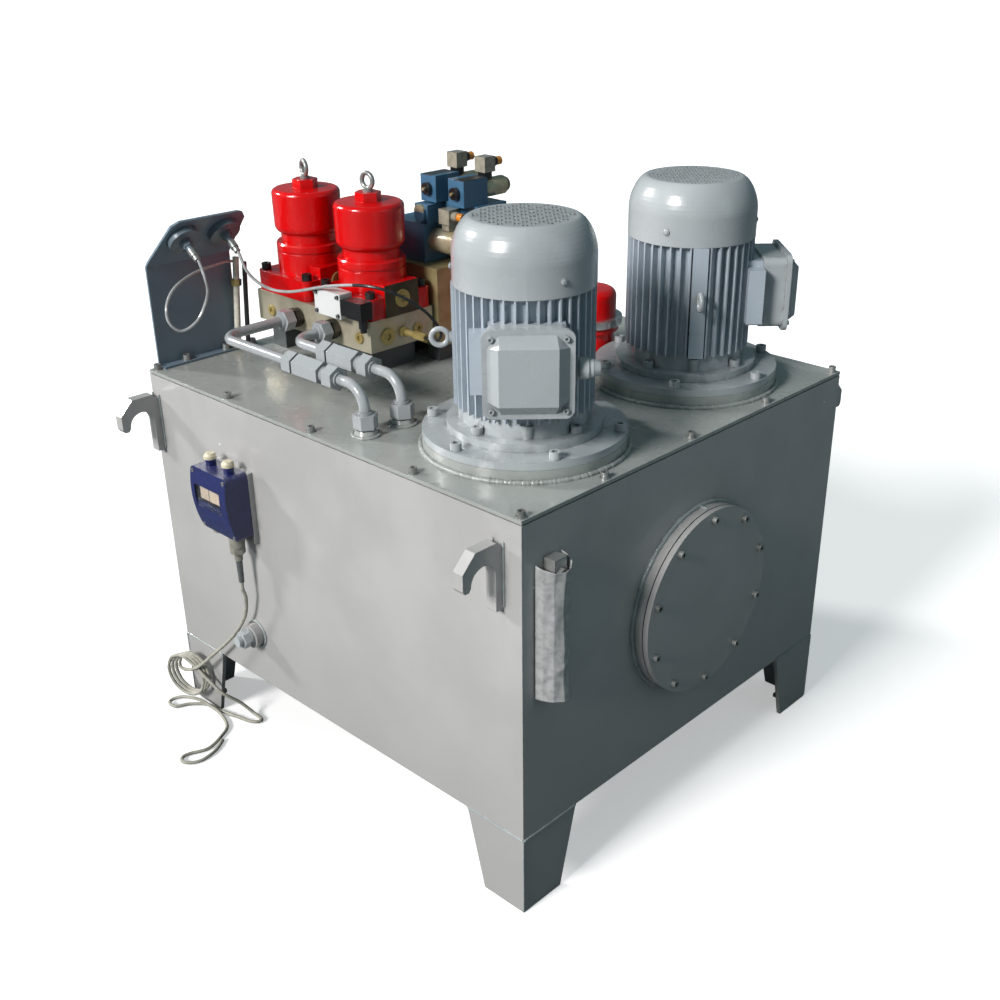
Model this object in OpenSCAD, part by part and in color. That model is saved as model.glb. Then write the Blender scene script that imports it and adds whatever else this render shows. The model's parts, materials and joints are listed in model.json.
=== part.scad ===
/* [Tank] */
// Length of the tank along X
tank_l = 950; // [945:5:980]
// Width of the tank along Y
tank_w = 860; // [855:5:890]
// Height of the tank between the legs and the lid
tank_h = 560; // [540:5:590]
// Height of the legs under the tank
leg_h = 150; // [130:5:170]
// Thickness of the tank walls
wall = 5; // [4:1:6]
// Thickness of the lid plate
lid_t = 6; // [5:1:8]
// Thickness of the gaskets under the lid and the clean-out cover
gasket_t = 2; // [1:1:3]
// Outer radius of the clean-out neck and its cover
cleanout_r = 168; // [165:1:172]

/* [Motors and pumps] */
// Distance of both motor axes from the middle of the tank along X
motor_x = 278; // [274:1:284]
// Distance of each motor axis from the middle of the tank along Y
motor_y = 212; // [210:1:216]
// Outer radius over the cooling fins of a motor
fin_r = 110; // [106:1:111]
// Number of places for cooling fins round a motor
fin_places = 40; // [30:2:40]
// Side of the square terminal box cover
terminal_w = 134; // [126:2:140]
// Number of teeth on each pump gear
gear_teeth = 10; // [10:10:10]

/* [Filters and valves] */
// Width of the filter manifold along X
manifold_l = 332; // [330:1:336]
// Depth of the filter manifold along Y
manifold_w = 150; // [150:1:152]
// Height of the filter manifold
manifold_h = 58; // [54:1:62]
// Distance between the two filter axes
filter_pitch = 180; // [178:1:182]
// Outer radius of a filter bowl
bowl_r = 63.5; // [61:0.5:66]
// Outside diameter of the delivery pipes
pipe_d = 18; // [16:1:18]

/* [Gauge panel] */
// Width of the gauge panel along Y
panel_w = 178; // [170:2:190]
// Height of the upright part of the gauge panel
panel_h = 188; // [176:2:200]
// Lean of the upper part of the gauge panel from upright, in degrees
panel_lean = 40; // [30:1:45]
// Distance between the two gauges
gauge_pitch = 85; // [80:1:88]

/* [Hidden] */
$fn = 64;
eps = 0.5;
// Gap between a screw and its tapped hole, and between pieces that touch
gap = 0.05;

z_rim = leg_h + tank_h;
z_lid = z_rim + gasket_t + lid_t;
x_side = tank_l / 2;
y_side = tank_w / 2;

paint = [0.60, 0.64, 0.65];
zinc = [0.80, 0.77, 0.66];
steel = [0.62, 0.62, 0.60];
red = [0.80, 0.07, 0.06];
valve_blue = [0.24, 0.42, 0.55];
black = [0.10, 0.10, 0.11];

// Plates of the legs, with an anchor hole in the corner of each foot
leg_t = 8;
anchor_in = 27;
anchor_r = 6.5;

// Rim and baffle inside the tank
rim_w = 40;
rim_t = 10;
baffle_x = -60;
baffle_h = 380;

// Nominal sizes of the screws
m4 = 4;
m5 = 5;
m8 = 8;
m12 = 12;

// Screws that hold the lid down
lid_screw_edge = 11;
lid_screw_x = [lid_screw_edge - x_side, -241, -8, 240, x_side - lid_screw_edge];
lid_screw_y = [[-206, -18, 199], [-236, -18, 199]];
washer_r = 8;
washer_t = 2;

// Clean-out opening in the +X wall
cleanout_z = 424;
cleanout_hole_r = 135;
cleanout_pcd_r = 153.5;
cleanout_screws_n = 10;
neck_len = 20;
cover_t = 10;

// Drain boss on the -Y wall
drain_x = -215;
drain_z = 254;
drain_r = 12;

// Level gauge on the +X wall
level_y = -372;
level_z = [430, 622];
level_bolt_r = 6;

// Lifting hooks
hook_x = [-463, 429];
hook_z = 565;
hook_t = 20;

// Weld rings under the bell housings
ring_r = 165;
ring_hole_r = 135;
ring_h = 20;
ring_pcd_r = 153;
bell_flange_t = 12.5;
z_ring = z_lid + ring_h;
z_motor = z_ring + bell_flange_t;

// Electric motor, heights above the face of its flange
flange_r = 125;
flange_t = 12.5;
flange_pcd_r = 107.5;
spigot_r = 90;
frame_z = 38;
frame_h = 191;
cowl_z = frame_z + frame_h;
cowl_h = 100;
cowl_r = fin_r + 0.5;
frame_r = 97;
stator_r = 82;
rotor_r = 51.5;
shaft_r = 14;
terminal_z = 137;
terminal_in = 118;
terminal_mid = 158;
cover_plate_t = 8;
cover_block_h = 17;
cover_screw = terminal_w / 2 - 13;
eye_z = 143;
cowl_t = 2;
cowl_round = [29, 52];
cowl_screw_z = 24;
cowl_screw_angle = [29, -1.5];
cowl_screws_n = 3;

// Bell housing and pump, heights of faces in the tank
bell_len = 148;
z_pump = z_motor - bell_len;
bell_r = 100;
pump_shaft_r = 8;
pitch_r = 20;
gear_h = 30;
z_gear = z_pump - 72;
chamber_r = 23.7;
pump_wall_r = 31;
pump_port_y = pump_wall_r - 7;
z_port = z_gear + gear_h / 2;
port_off = -pitch_r;
suction_r = 14;
pump_top_t = 12;
pump_h = 104;

// Delivery lines: where each one rises through the lid, and its height above it
line_x = [68, 74];
line_y = [-366, -292];
z_line = z_lid + 80;
bend_r = 38;
pipe_r = pipe_d / 2;
bore_r = pipe_r - 2.5;
nut_af = 36;
boss_h = 10;
boss_r = 22;
valve_x = [-96, -22];
poppet_seat_x = -44;
poppet_len = 14;
poppet_r = 9.4;

// Filter manifold and filters
block_x = -116 - manifold_l;
block_y = -43 - manifold_w;
z_block = z_lid + 52;
z_head = z_block + manifold_h;
port_x = [-323, -215];
port_z = z_line;
filter_x = [-192 - filter_pitch, -192];
filter_y = -117;
// Plugs in the filter manifold: position and collar radius, on the -Y face and on the +X face
front_plugs = [[-405, 10], [-146, 10]];
side_plugs = [[-154, 15], [-81, 10]];
plug_z = z_block + 24;
switch_x = -200;
switch_depth = 28;
head_half_x = 76;
head_half_y = 74;
head_screw = [62, 60];
lug_r = 14;
head_base_h = 38;
head_top = 95;
bowl_bottom = 72;
bowl_top = 192;
filter_eye_angle = [-19, 4];

// Return filter on the lid
return_x = 60;
return_y = 200;
return_body_r = 48;
return_flange_r = 74;
return_screw_r = 64;
return_screw_angles = [60, -60, 120, -120];
return_port_z = 34;

// Valve manifold
vm_x = [-250, -105];
vm_y = [-38, 140];
z_vm = z_lid + 30;
z_vm_top = z_lid + 178;
main_valve_y = [-20, 40];
solenoid_z = z_vm_top + 39;
z_main_top = z_vm_top + 72;
pilot_x = [-161, -88.5];
pilot_z = z_lid + 287;
pilot_h = 48;
pilot_w = 40;
pilot_len = 60;
pin_r = 3;

// Gauge panel
panel_x = -x_side;
panel_y = -410;
panel_t = 4;
panel_slope = 116;
panel_foot = 24;
panel_screw_x = panel_x + 12.5;
panel_screw_y = [panel_y + 53, panel_y + 141];
gauge_s = 73;
gauge_y = [-357, -357 + gauge_pitch];
gauge_r = 30;
gauge_depth = 16;
stem_end = 34;
ferrule_end = 58;
hose_r = 2.8;
pivot_r = 1.5;

// Sensor box on the -Y wall
sensor_x = [-282, -176];
sensor_z = [475, 600];
bracket_t = 10;
sensor_y = -y_side - bracket_t;
sensor_depth = 50;
sensor_front_r = 200;
sensor_front_z = 556;
sensor_mid_x = (sensor_x[0] + sensor_x[1]) / 2;
sensor_mid_z = (sensor_z[0] + sensor_z[1]) / 2;
window_w = 76;
window_h = 42;
gland_x = [sensor_mid_x - 27, sensor_mid_x + 27];
gland_y = sensor_y - 20;
gland_r = 8;
collar_h = 12;
sleeve_end = sensor_z[0] - 93;
cable_r = 3.5;

// ---------- Shapes used more than once ----------

module along_x() rotate([0, 90, 0]) children();

module along_y() rotate([-90, 0, 0]) children();

module tube(outer, inner, h) {
    difference() {
        cylinder(r = outer, h = h);
        translate([0, 0, -eps]) cylinder(r = inner, h = h + 2 * eps);
    }
}

module hexagon(af, h) cylinder(d = af / cos(30), h = h, $fn = 6);

module round_the_circle(n, r, start = 0)
    for (i = [0:n - 1]) rotate([0, 0, start + i * 360 / n]) translate([r, 0, 0]) children();

// Socket screw with the underside of its head at z = 0
module socket_screw(d, len) {
    head_r = 0.7 * d + 0.8;
    difference() {
        union() {
            cylinder(r = head_r, h = d);
            translate([0, 0, -len]) cylinder(r = d / 2, h = len + eps);
        }
        translate([0, 0, d / 2]) hexagon(0.78 * d, d);
    }
}

module rounded_plate(w, h, r, t) {
    linear_extrude(t) union() {
        square([w - 2 * r, h], center = true);
        square([w, h - 2 * r], center = true);
        for (i = [-1, 1], j = [-1, 1]) translate([i * (w / 2 - r), j * (h / 2 - r)]) circle(r);
    }
}

// Points of an arc, used in turned profiles
function arc(cx, cy, r, a0, a1, n = 8) =
    [for (i = [0:n]) [cx + r * cos(a0 + (a1 - a0) * i / n), cy + r * sin(a0 + (a1 - a0) * i / n)]];

function unit(v) = v / norm(v);

// Round bar that follows points whose legs are square to each other
module bent_bar(points, r, bend) {
    last = len(points) - 1;
    for (i = [0:last - 1]) {
        d = unit(points[i + 1] - points[i]);
        a = points[i] + (i == 0 ? 0 : bend) * d;
        b = points[i + 1] - (i == last - 1 ? 0 : bend) * d;
        side = abs(d[2]) > 0.5 ? [1, 0, 0] : [0, 0, 1];
        multmatrix(frame_matrix(side, cross(d, side), d, a)) cylinder(r = r, h = norm(b - a));
    }
    for (i = [1:1:last - 1]) {
        d1 = unit(points[i] - points[i - 1]);
        d2 = unit(points[i + 1] - points[i]);
        multmatrix(frame_matrix(-d2, d1, cross(d1, d2), points[i] + bend * (d2 - d1)))
            rotate_extrude(angle = 90) translate([bend, 0]) circle(r);
    }
}

// Matrix that carries the X, Y and Z axes to a, b and c, and the origin to p
function frame_matrix(a, b, c, p) = [
    [a[0], b[0], c[0], p[0]],
    [a[1], b[1], c[1], p[1]],
    [a[2], b[2], c[2], p[2]],
    [0, 0, 0, 1]
];

// Pipe along square legs, open at both ends
module bent_pipe(points, bend) {
    last = len(points) - 1;
    first_leg = unit(points[1] - points[0]);
    last_leg = unit(points[last] - points[last - 1]);
    inner = [for (i = [0:last]) i == 0 ? points[i] - eps * first_leg
        : i == last ? points[i] + eps * last_leg : points[i]];
    difference() {
        bent_bar(points, pipe_r, bend);
        bent_bar(inner, bore_r, bend);
    }
}

// Smooth curve through points
function spline_point(p, i, t) =
    let (n = len(p) - 1, a = p[max(i - 1, 0)], b = p[i], c = p[i + 1], d = p[min(i + 2, n)])
    0.5 * (2 * b + t * (c - a) + t * t * (2 * a - 5 * b + 4 * c - d)
        + t * t * t * (3 * b - a - 3 * c + d));

function spline(p, steps) = concat(
    [for (i = [0:len(p) - 2], s = [0:steps - 1]) spline_point(p, i, s / steps)], [p[len(p) - 1]]);

// Flexible line of radius r along a smooth curve
module flexible_line(points, r, steps, sides = 8) {
    path = spline(points, steps);
    n = len(path);
    dirs = [for (i = [0:n - 1]) unit(path[min(i + 1, n - 1)] - path[max(i - 1, 0)])];
    up = [0.31, 0.17, 0.93];
    skin = [for (i = [0:n - 1], k = [0:sides - 1])
        let (u = unit(cross(dirs[i], up)), v = cross(dirs[i], u), a = 360 * k / sides)
        path[i] + r * (cos(a) * u + sin(a) * v)];
    walls = [for (i = [0:n - 2], k = [0:sides - 1])
        let (a = i * sides + k, b = i * sides + (k + 1) % sides) [a, a + sides, b + sides, b]];
    ends = [[for (k = [0:sides - 1]) k], [for (k = [0:sides - 1]) n * sides - 1 - k]];
    polyhedron(skin, concat(walls, ends), convexity = 6);
}

// ---------- Tank ----------

module at_cleanout() translate([x_side, 0, cleanout_z]) along_x() children();

module wall_box(inset, z0, z1)
    translate([inset - x_side, inset - y_side, z0])
        cube([tank_l - 2 * inset, tank_w - 2 * inset, z1 - z0]);

module at_lid_screws() {
    for (x = lid_screw_x, s = [-1, 1]) translate([x, s * (y_side - lid_screw_edge), 0]) children();
    for (k = [0, 1], y = lid_screw_y[k])
        translate([(2 * k - 1) * (x_side - lid_screw_edge), y, 0]) children();
}

module tank_shell() {
    color(paint) difference() {
        union() {
            difference() {
                wall_box(0, leg_h, z_rim);
                wall_box(wall, leg_h + wall, z_rim + eps);
            }
            difference() {
                wall_box(wall / 2, z_rim - rim_t, z_rim);
                wall_box(rim_w, z_rim - rim_t - eps, z_rim + eps);
            }
            translate([baffle_x, wall / 2 - y_side, leg_h + wall / 2])
                cube([wall, tank_w - wall, baffle_h]);
            at_cleanout() translate([0, 0, -wall / 2]) cylinder(r = cleanout_r, h = neck_len + wall / 2);
            translate([drain_x, -y_side + wall / 2, drain_z]) rotate([90, 0, 0])
                cylinder(r = 23, h = 18 + wall / 2);
        }
        at_cleanout() translate([0, 0, -2 * wall]) cylinder(r = cleanout_hole_r, h = neck_len + 3 * wall);
        at_cleanout() round_the_circle(cleanout_screws_n, cleanout_pcd_r)
            translate([0, 0, neck_len - 20]) cylinder(d = m8 + 2 * gap, h = 30);
        translate([0, 0, z_rim - rim_t - eps]) at_lid_screws() cylinder(d = m8 + 2 * gap, h = 2 * rim_t);
        translate([drain_x, -y_side + 2 * wall, drain_z]) rotate([90, 0, 0])
            cylinder(r = drain_r + gap, h = 50);
        for (z = level_z) translate([x_side - 2 * wall, level_y, z]) along_x()
            cylinder(r = level_bolt_r + gap, h = 4 * wall);
        // Cut-outs that let oil past the baffle
        for (s = [-1, 1]) translate([baffle_x - eps, s * 350 - 60, leg_h + wall])
            cube([wall + 2 * eps, 120, 90]);
    }
}

module leg_plate(w_top, w_foot)
    linear_extrude(leg_t) polygon([[0, 0], [w_foot, 0], [w_top, leg_h], [0, leg_h]]);

module tank_legs() {
    corners = [[1, -1, 90], [1, 1, 180], [-1, 1, 270], [-1, -1, 0]];
    color(paint) for (c = corners) translate([c[0] * x_side, c[1] * y_side, 0]) rotate([0, 0, c[2]]) {
        translate([0, leg_t, 0]) rotate([90, 0, 0]) leg_plate(127, 90);
        rotate([90, 0, 90]) leg_plate(127, 90);
        difference() {
            translate([leg_t / 2, leg_t / 2, 0]) cube([42, 42, leg_t]);
            translate([anchor_in, anchor_in, -eps]) cylinder(r = anchor_r, h = leg_t + 2 * eps);
        }
    }
}

module hook_profile() {
    difference() {
        polygon([[0, 0], [0, 100], [14, 112], [56, 112], [82, 86], [82, 60], [78, 54], [70, 54],
            [66, 60], [16, 60], [16, 0]]);
        translate([41, 60]) circle(25);
    }
}

module lifting_hooks() {
    color(paint) for (x = hook_x, s = [-1, 1])
        translate([x, s * y_side, hook_z]) rotate([0, 0, s < 0 ? 180 : 0])
            translate([-hook_t / 2, 0, 0]) rotate([90, 0, 90]) linear_extrude(hook_t) hook_profile();
}

module gaskets() {
    color(black) {
        difference() {
            wall_box(3, z_rim, z_rim + gasket_t);
            wall_box(rim_w, z_rim - eps, z_rim + gasket_t + eps);
            translate([0, 0, z_rim - eps]) at_lid_screws() cylinder(d = m8 + 1, h = 10);
        }
        at_cleanout() translate([0, 0, neck_len]) difference() {
            tube(cleanout_r - 1, cleanout_hole_r, gasket_t);
            translate([0, 0, -eps]) round_the_circle(cleanout_screws_n, cleanout_pcd_r)
                cylinder(d = m8 + 1, h = 10);
        }
    }
}

module place_motors()
    for (m = [0, 1]) at_motor(m) children();

// Motor 0 stands at -Y and motor 1 at +Y, each with its terminal box along the local +X
module at_motor(m)
    translate([motor_x, (2 * m - 1) * motor_y, 0]) rotate([0, 0, 90 * m - 45]) children();

module tank_lid() {
    color(paint) difference() {
        union() {
            wall_box(0, z_rim + gasket_t, z_lid);
            place_motors() translate([0, 0, z_lid - eps]) cylinder(r = ring_r, h = ring_h + eps);
            for (k = [0, 1]) translate([line_x[k], line_y[k], z_lid - eps])
                cylinder(r1 = boss_r, r2 = boss_r - 5, h = boss_h + eps);
        }
        place_motors() translate([0, 0, z_rim - eps]) cylinder(r = ring_hole_r, h = 50);
        place_motors() translate([0, 0, z_ring - 16]) round_the_circle(6, ring_pcd_r, 15)
            cylinder(d = m12 + 2 * gap, h = 20);
        for (k = [0, 1]) translate([line_x[k], line_y[k], z_rim]) cylinder(r = pipe_r + 0.3, h = 50);
        translate([return_x, return_y, z_rim]) cylinder(r = return_body_r + 1, h = 50);
        translate([return_x, return_y, z_rim]) at_return_screws() cylinder(d = m8 + 2 * gap, h = 50);
        translate([0, 0, z_rim]) at_lid_screws() cylinder(d = m8 + 1, h = 20);
        for (y = panel_screw_y) translate([panel_screw_x, y, z_rim + gasket_t - eps])
            cylinder(d = m8 + 2 * gap, h = 20);
    }
}

module cleanout_cover() {
    color(paint) at_cleanout() translate([0, 0, neck_len + gasket_t]) difference() {
        cylinder(r = cleanout_r, h = cover_t);
        translate([0, 0, -eps]) round_the_circle(cleanout_screws_n, cleanout_pcd_r)
            cylinder(d = m8 + 1, h = cover_t + 2 * eps);
    }
}

module washered_screw(len) {
    tube(washer_r, m8 / 2 + gap, washer_t);
    translate([0, 0, washer_t]) socket_screw(m8, len);
}

module lid_and_cover_screws() {
    translate([0, 0, z_lid]) at_lid_screws() washered_screw(18);
    at_cleanout() translate([0, 0, neck_len + gasket_t + cover_t])
        round_the_circle(cleanout_screws_n, cleanout_pcd_r) socket_screw(m8, 25);
    for (y = panel_screw_y) translate([panel_screw_x, y, z_lid + panel_t]) washered_screw(11);
    translate([return_x, return_y, z_lid + 10]) at_return_screws() socket_screw(m8, 15);
}

module motor_and_filter_screws() {
    at_filters() at_head_screws() translate([0, 0, head_base_h]) socket_screw(m12, head_base_h + 14);
    place_motors() {
        translate([0, 0, z_motor]) round_the_circle(6, ring_pcd_r, 15)
            socket_screw(m12, bell_flange_t + 14);
        translate([0, 0, z_motor + flange_t]) round_the_circle(4, flange_pcd_r, 45)
            socket_screw(m12, flange_t + 11);
        for (s = [-1, 1]) translate([0, 53 * s, z_pump - pump_top_t])
            rotate([180, 0, 0]) socket_screw(m8, pump_top_t + 11);
    }
}

module cover_and_cowl_screws() {
    place_motors() translate([terminal_mid + cover_plate_t + 2 * gap, 0, z_motor + terminal_z]) along_x()
        at_cover_screws() socket_screw(m5, 18);
    for (m = [0, 1]) at_motor(m) at_cowl_screws(m) {
        cylinder(r = 5.5, h = 2);
        translate([0, 0, 1.5]) cylinder(r1 = 4.8, r2 = 3, h = 2);
        translate([0, 0, -12]) cylinder(d = m5, h = 12 + eps);
    }
    at_sensor_screws() socket_screw(m4, 8);
    at_switch_screws() socket_screw(m4, 8);
}

module socket_screws() {
    color(steel) {
        lid_and_cover_screws();
        motor_and_filter_screws();
        cover_and_cowl_screws();
    }
}

module drain_plug() {
    color(steel) translate([drain_x, -y_side - 18, drain_z]) rotate([90, 0, 0]) {
        translate([0, 0, -20]) cylinder(r = drain_r, h = 20 + eps);
        cylinder(r = 17, h = 6);
        translate([0, 0, 6 - eps]) hexagon(30, 14 + eps);
        translate([0, 0, 20 - eps]) cylinder(r = 10, h = 10);
    }
}

// ---------- Fittings on the tank walls ----------

module level_gauge() {
    color(steel) {
        translate([x_side + 1, level_y - 13, level_z[0] - 24]) difference() {
            cube([22, 26, level_z[1] - level_z[0] + 48]);
            translate([14, 7, 50]) cube([20, 12, level_z[1] - level_z[0] - 52]);
            for (z = level_z) translate([-eps, 13, z - level_z[0] + 24]) along_x()
                cylinder(r = level_bolt_r + gap, h = 40);
        }
        for (z = level_z) translate([x_side - wall - 6, level_y, z]) along_x() {
            cylinder(r = level_bolt_r, h = 30 + wall);
            translate([0, 0, 29 + wall + gap]) hexagon(17, 7);
        }
    }
}

// Outline of the sleeve round the level gauge, along Y from the gauge and out from the wall.
// The inner outline, with t above 0, reaches past the outer one so the sleeve is open to the wall.
function sleeve_outline(t) = [
    [-38 + 2.4 * t, t > 0 ? 0 : 2], [-32 + t, 16 - t], [-16, 35 - t], [6, 39 - t], [23 - t, 33 - t],
    [28 - t, 18], [29 - t, t > 0 ? 0 : 2]
];

module level_gauge_sleeve() {
    color([0.55, 0.55, 0.55])
    translate([x_side, level_y, level_z[0] - 28]) rotate([0, 0, 90]) mirror([0, 1, 0])
        linear_extrude(245) difference() {
            polygon(sleeve_outline(0));
            polygon(sleeve_outline(1.5));
        }
}

module sensor_bracket() {
    color(paint) translate([sensor_x[0] + 4, sensor_y, sensor_z[0] - 14])
        cube([sensor_x[1] - sensor_x[0] - 3, bracket_t, sensor_z[1] - sensor_z[0] + 12]);
}

module at_window(depth)
    translate([sensor_mid_x - 4, sensor_y - sensor_depth + depth, sensor_mid_z + 10])
        rotate([90, 0, 0]) children();

// Corner screws of the sensor box, on the bulging front
module at_sensor_screws()
    for (s = [-1, 1], p = [[sensor_z[1] - 8, 44], [sensor_z[0] + 8, 33]])
        translate([sensor_mid_x + 46 * s, sensor_y - p[1], p[0]]) rotate([90, 0, 0]) children();

module sensor_box() {
    w = sensor_x[1] - sensor_x[0];
    color([0.10, 0.13, 0.36]) difference() {
        union() {
            intersection() {
                translate([sensor_mid_x, sensor_y - gap, sensor_mid_z]) rotate([90, 0, 0])
                    rounded_plate(w, sensor_z[1] - sensor_z[0], 8, sensor_depth + 5);
                translate([sensor_x[0] - 5, sensor_y - sensor_depth + sensor_front_r, sensor_front_z])
                    along_x() cylinder(r = sensor_front_r, h = w + 10, $fn = 360);
            }
            for (x = gland_x) translate([x, gland_y, sensor_z[1] - 1])
                cylinder(r = 10, h = collar_h + 1);
        }
        at_window(3) rounded_plate(window_w, window_h, 3, 10);
        for (x = gland_x) {
            translate([x, gland_y, sensor_z[1] - 8]) cylinder(r = gland_r + gap, h = 40);
            translate([x, gland_y, sensor_z[0] - eps]) cylinder(r = gland_r + gap, h = 8);
        }
        at_sensor_screws() {
            cylinder(r = 4, h = 30);
            translate([0, 0, -9]) cylinder(d = m4 + 2 * gap, h = 10);
        }
    }
}

// Two caps on top of the sensor box, a plug and the cable gland with its bend relief below
module sensor_glands() {
    for (x = gland_x) translate([x, gland_y, sensor_z[1]]) {
        translate([0, 0, -6]) cylinder(r = gland_r, h = collar_h + 7);
        translate([0, 0, collar_h + gap]) cylinder(r = 11.5, h = 6);
        translate([0, 0, collar_h + 6]) cylinder(r1 = 10.5, r2 = 8, h = 4);
    }
    translate([gland_x[0], gland_y, sensor_z[0]]) {
        translate([0, 0, -gap - 7]) cylinder(r = 10, h = 7);
        translate([0, 0, -4]) cylinder(r = gland_r, h = 8);
    }
    translate([gland_x[1], gland_y, sleeve_end]) difference() {
        union() {
            cylinder(r1 = 5, r2 = 6.2, h = 48);
            translate([0, 0, 46]) cylinder(r = 7.5, h = 16);
            translate([0, 0, 60]) hexagon(24, 14);
            translate([0, 0, 73]) cylinder(r = 14, h = 20 - gap);
            translate([0, 0, 90]) cylinder(r = gland_r, h = 8);
        }
        translate([0, 0, -eps]) cylinder(r = cable_r + gap, h = 12);
    }
}

// Cable of the sensor: it hangs from the box, is coiled beside a leg and ends in loops on the floor.
// The coil is wound from left to top, and drifts away from the box as it goes.
function coil_point(turn) =
    let (a = 180 - 360 * turn, k = turn / 3.4, across = 41 + 4 * k)
    [-430 - 22 * k + across * 0.97 * cos(a), -450 - 14 * k + across * 0.25 * cos(a),
        84 - 14 * k + (43 + 4 * k) * sin(a)];

module sensor_cable() {
    start = [gland_x[1], gland_y, sleeve_end + 8];
    hang = [start, start - [0, 0, 12], start - [0, 0, 24], [-204, -454, 344], [-221, -450, 297],
        [-266, -450, 238], [-331, -454, 174], [-399, -459, 112], [-440, -461, 88]];
    coil = [for (k = [0:27]) coil_point(k / 8)];
    first_loop = [[-379, -452, 84], [-349, -442, 62], [-333, -415, 34], [-316, -398, 9],
        [-292, -396, 4], [-286, -404, 4], [-298, -416, 4], [-327, -424, 4], [-373, -435, 4],
        [-414, -441, 4], [-444, -466, 4], [-457, -490, 4], [-478, -492, 5], [-481, -478, 7],
        [-465, -463, 11], [-430, -450, 13], [-400, -446, 11], [-366, -444, 6]];
    second_loop = [[-322, -458, 4], [-301, -486, 4], [-285, -527, 4], [-298, -563, 4],
        [-297, -579, 4], [-284, -585, 4], [-268, -573, 4], [-262, -552, 4], [-270, -520, 4],
        [-288, -492, 4]];
    color([0.62, 0.60, 0.55])
        flexible_line(concat(hang, coil, first_loop, second_loop), cable_r, 4, 10);
}

module clear_windows() {
    color([0.8, 0.9, 0.95, 0.4]) {
        at_window(3 - gap) rounded_plate(window_w - 2 * gap, window_h - 2 * gap, 3, 2);
        for (y = gauge_y) at_gauge(y) translate([0, 0, 4.2]) cylinder(r = gauge_r - 1.55, h = 1.5);
    }
}

// ---------- Gauge panel ----------

// Carries the local XY plane onto the leaning front of the panel, with X up the slope
module on_panel() translate([panel_x, 0, z_lid + panel_h]) rotate([0, panel_lean - 90, 0]) children();

module at_gauge(y) on_panel() translate([gauge_s, y, 0]) children();

// Side outline of the bent panel, from its foot to the end of its slope
function panel_outline() =
    let (
        up = [sin(panel_lean), cos(panel_lean)],
        inward = [cos(panel_lean), -sin(panel_lean)],
        top = [0, panel_h],
        bend = top + panel_t * (1 - cos(panel_lean)) / sin(panel_lean) * up + panel_t * inward
    )
    [[0, 0], [panel_foot, 0], [panel_foot, panel_t], [panel_t, panel_t], bend,
        top + panel_slope * up + panel_t * inward, top + panel_slope * up, top];

module gauge_panel() {
    s = panel_slope;
    y0 = panel_y;
    y1 = panel_y + panel_w;
    color(paint) difference() {
        translate([panel_x, y1, z_lid]) rotate([90, 0, 0]) linear_extrude(panel_w)
            polygon(panel_outline());
        on_panel() translate([0, 0, -10]) linear_extrude(20) {
            polygon([[10, y0 - 1], [s + 1, y0 - 1], [s + 1, y0 + 36], [s - 10, y0 + 20]]);
            polygon([[s + 1, y1 - 24], [s + 1, y1 + 1], [s - 20, y1 + 1], [s - 6, y1 - 8]]);
        }
        for (y = gauge_y) at_gauge(y) translate([0, 0, -10]) cylinder(r = gauge_r + 0.3, h = 20);
        for (y = panel_screw_y) translate([panel_screw_x, y, z_lid - eps]) cylinder(d = m8 + 1, h = 10);
    }
}

module gauge_cases() {
    color([0.30, 0.32, 0.33]) for (y = gauge_y) at_gauge(y) {
        difference() {
            union() {
                translate([0, 0, -gauge_depth]) cylinder(r = gauge_r, h = gauge_depth + eps);
                translate([0, 0, gap]) cylinder(r = gauge_r + 1, h = 6);
                translate([0, 0, -stem_end]) cylinder(r = 7, h = stem_end - gauge_depth + 1);
                translate([0, 0, -gauge_depth - 12]) hexagon(17, 10);
                translate([0, 0, -gauge_depth - 2]) cylinder(r = 12, h = 3);
            }
            translate([0, 0, 1]) cylinder(r = gauge_r - 1.5, h = 10);
            translate([0, 0, -stem_end - eps]) cylinder(r = 4 + gap, h = 10);
        }
        cylinder(r = pivot_r, h = 3.8);
    }
}

// Needle at the start of its scale, down and to the left for a reader
module gauge_needle(y) {
    color(black) at_gauge(y) rotate([0, 0, 135]) translate([0, 0, 1.6]) difference() {
        union() {
            cylinder(r = 4, h = 1.6);
            linear_extrude(0.8) polygon([[-8, -1.6], [22, -0.4], [22, 0.4], [-8, 1.6]]);
        }
        translate([0, 0, -eps]) cylinder(r = pivot_r + gap, h = 5);
    }
}

module needle_left() gauge_needle(gauge_y[1]);

module needle_right() gauge_needle(gauge_y[0]);

// Where the hose ferrule of a gauge ends, as far below the panel as reach
function behind_gauge(y, reach) = [
    panel_x + gauge_s * sin(panel_lean) + reach * cos(panel_lean), y,
    z_lid + panel_h + gauge_s * cos(panel_lean) - reach * sin(panel_lean)
];

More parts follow.
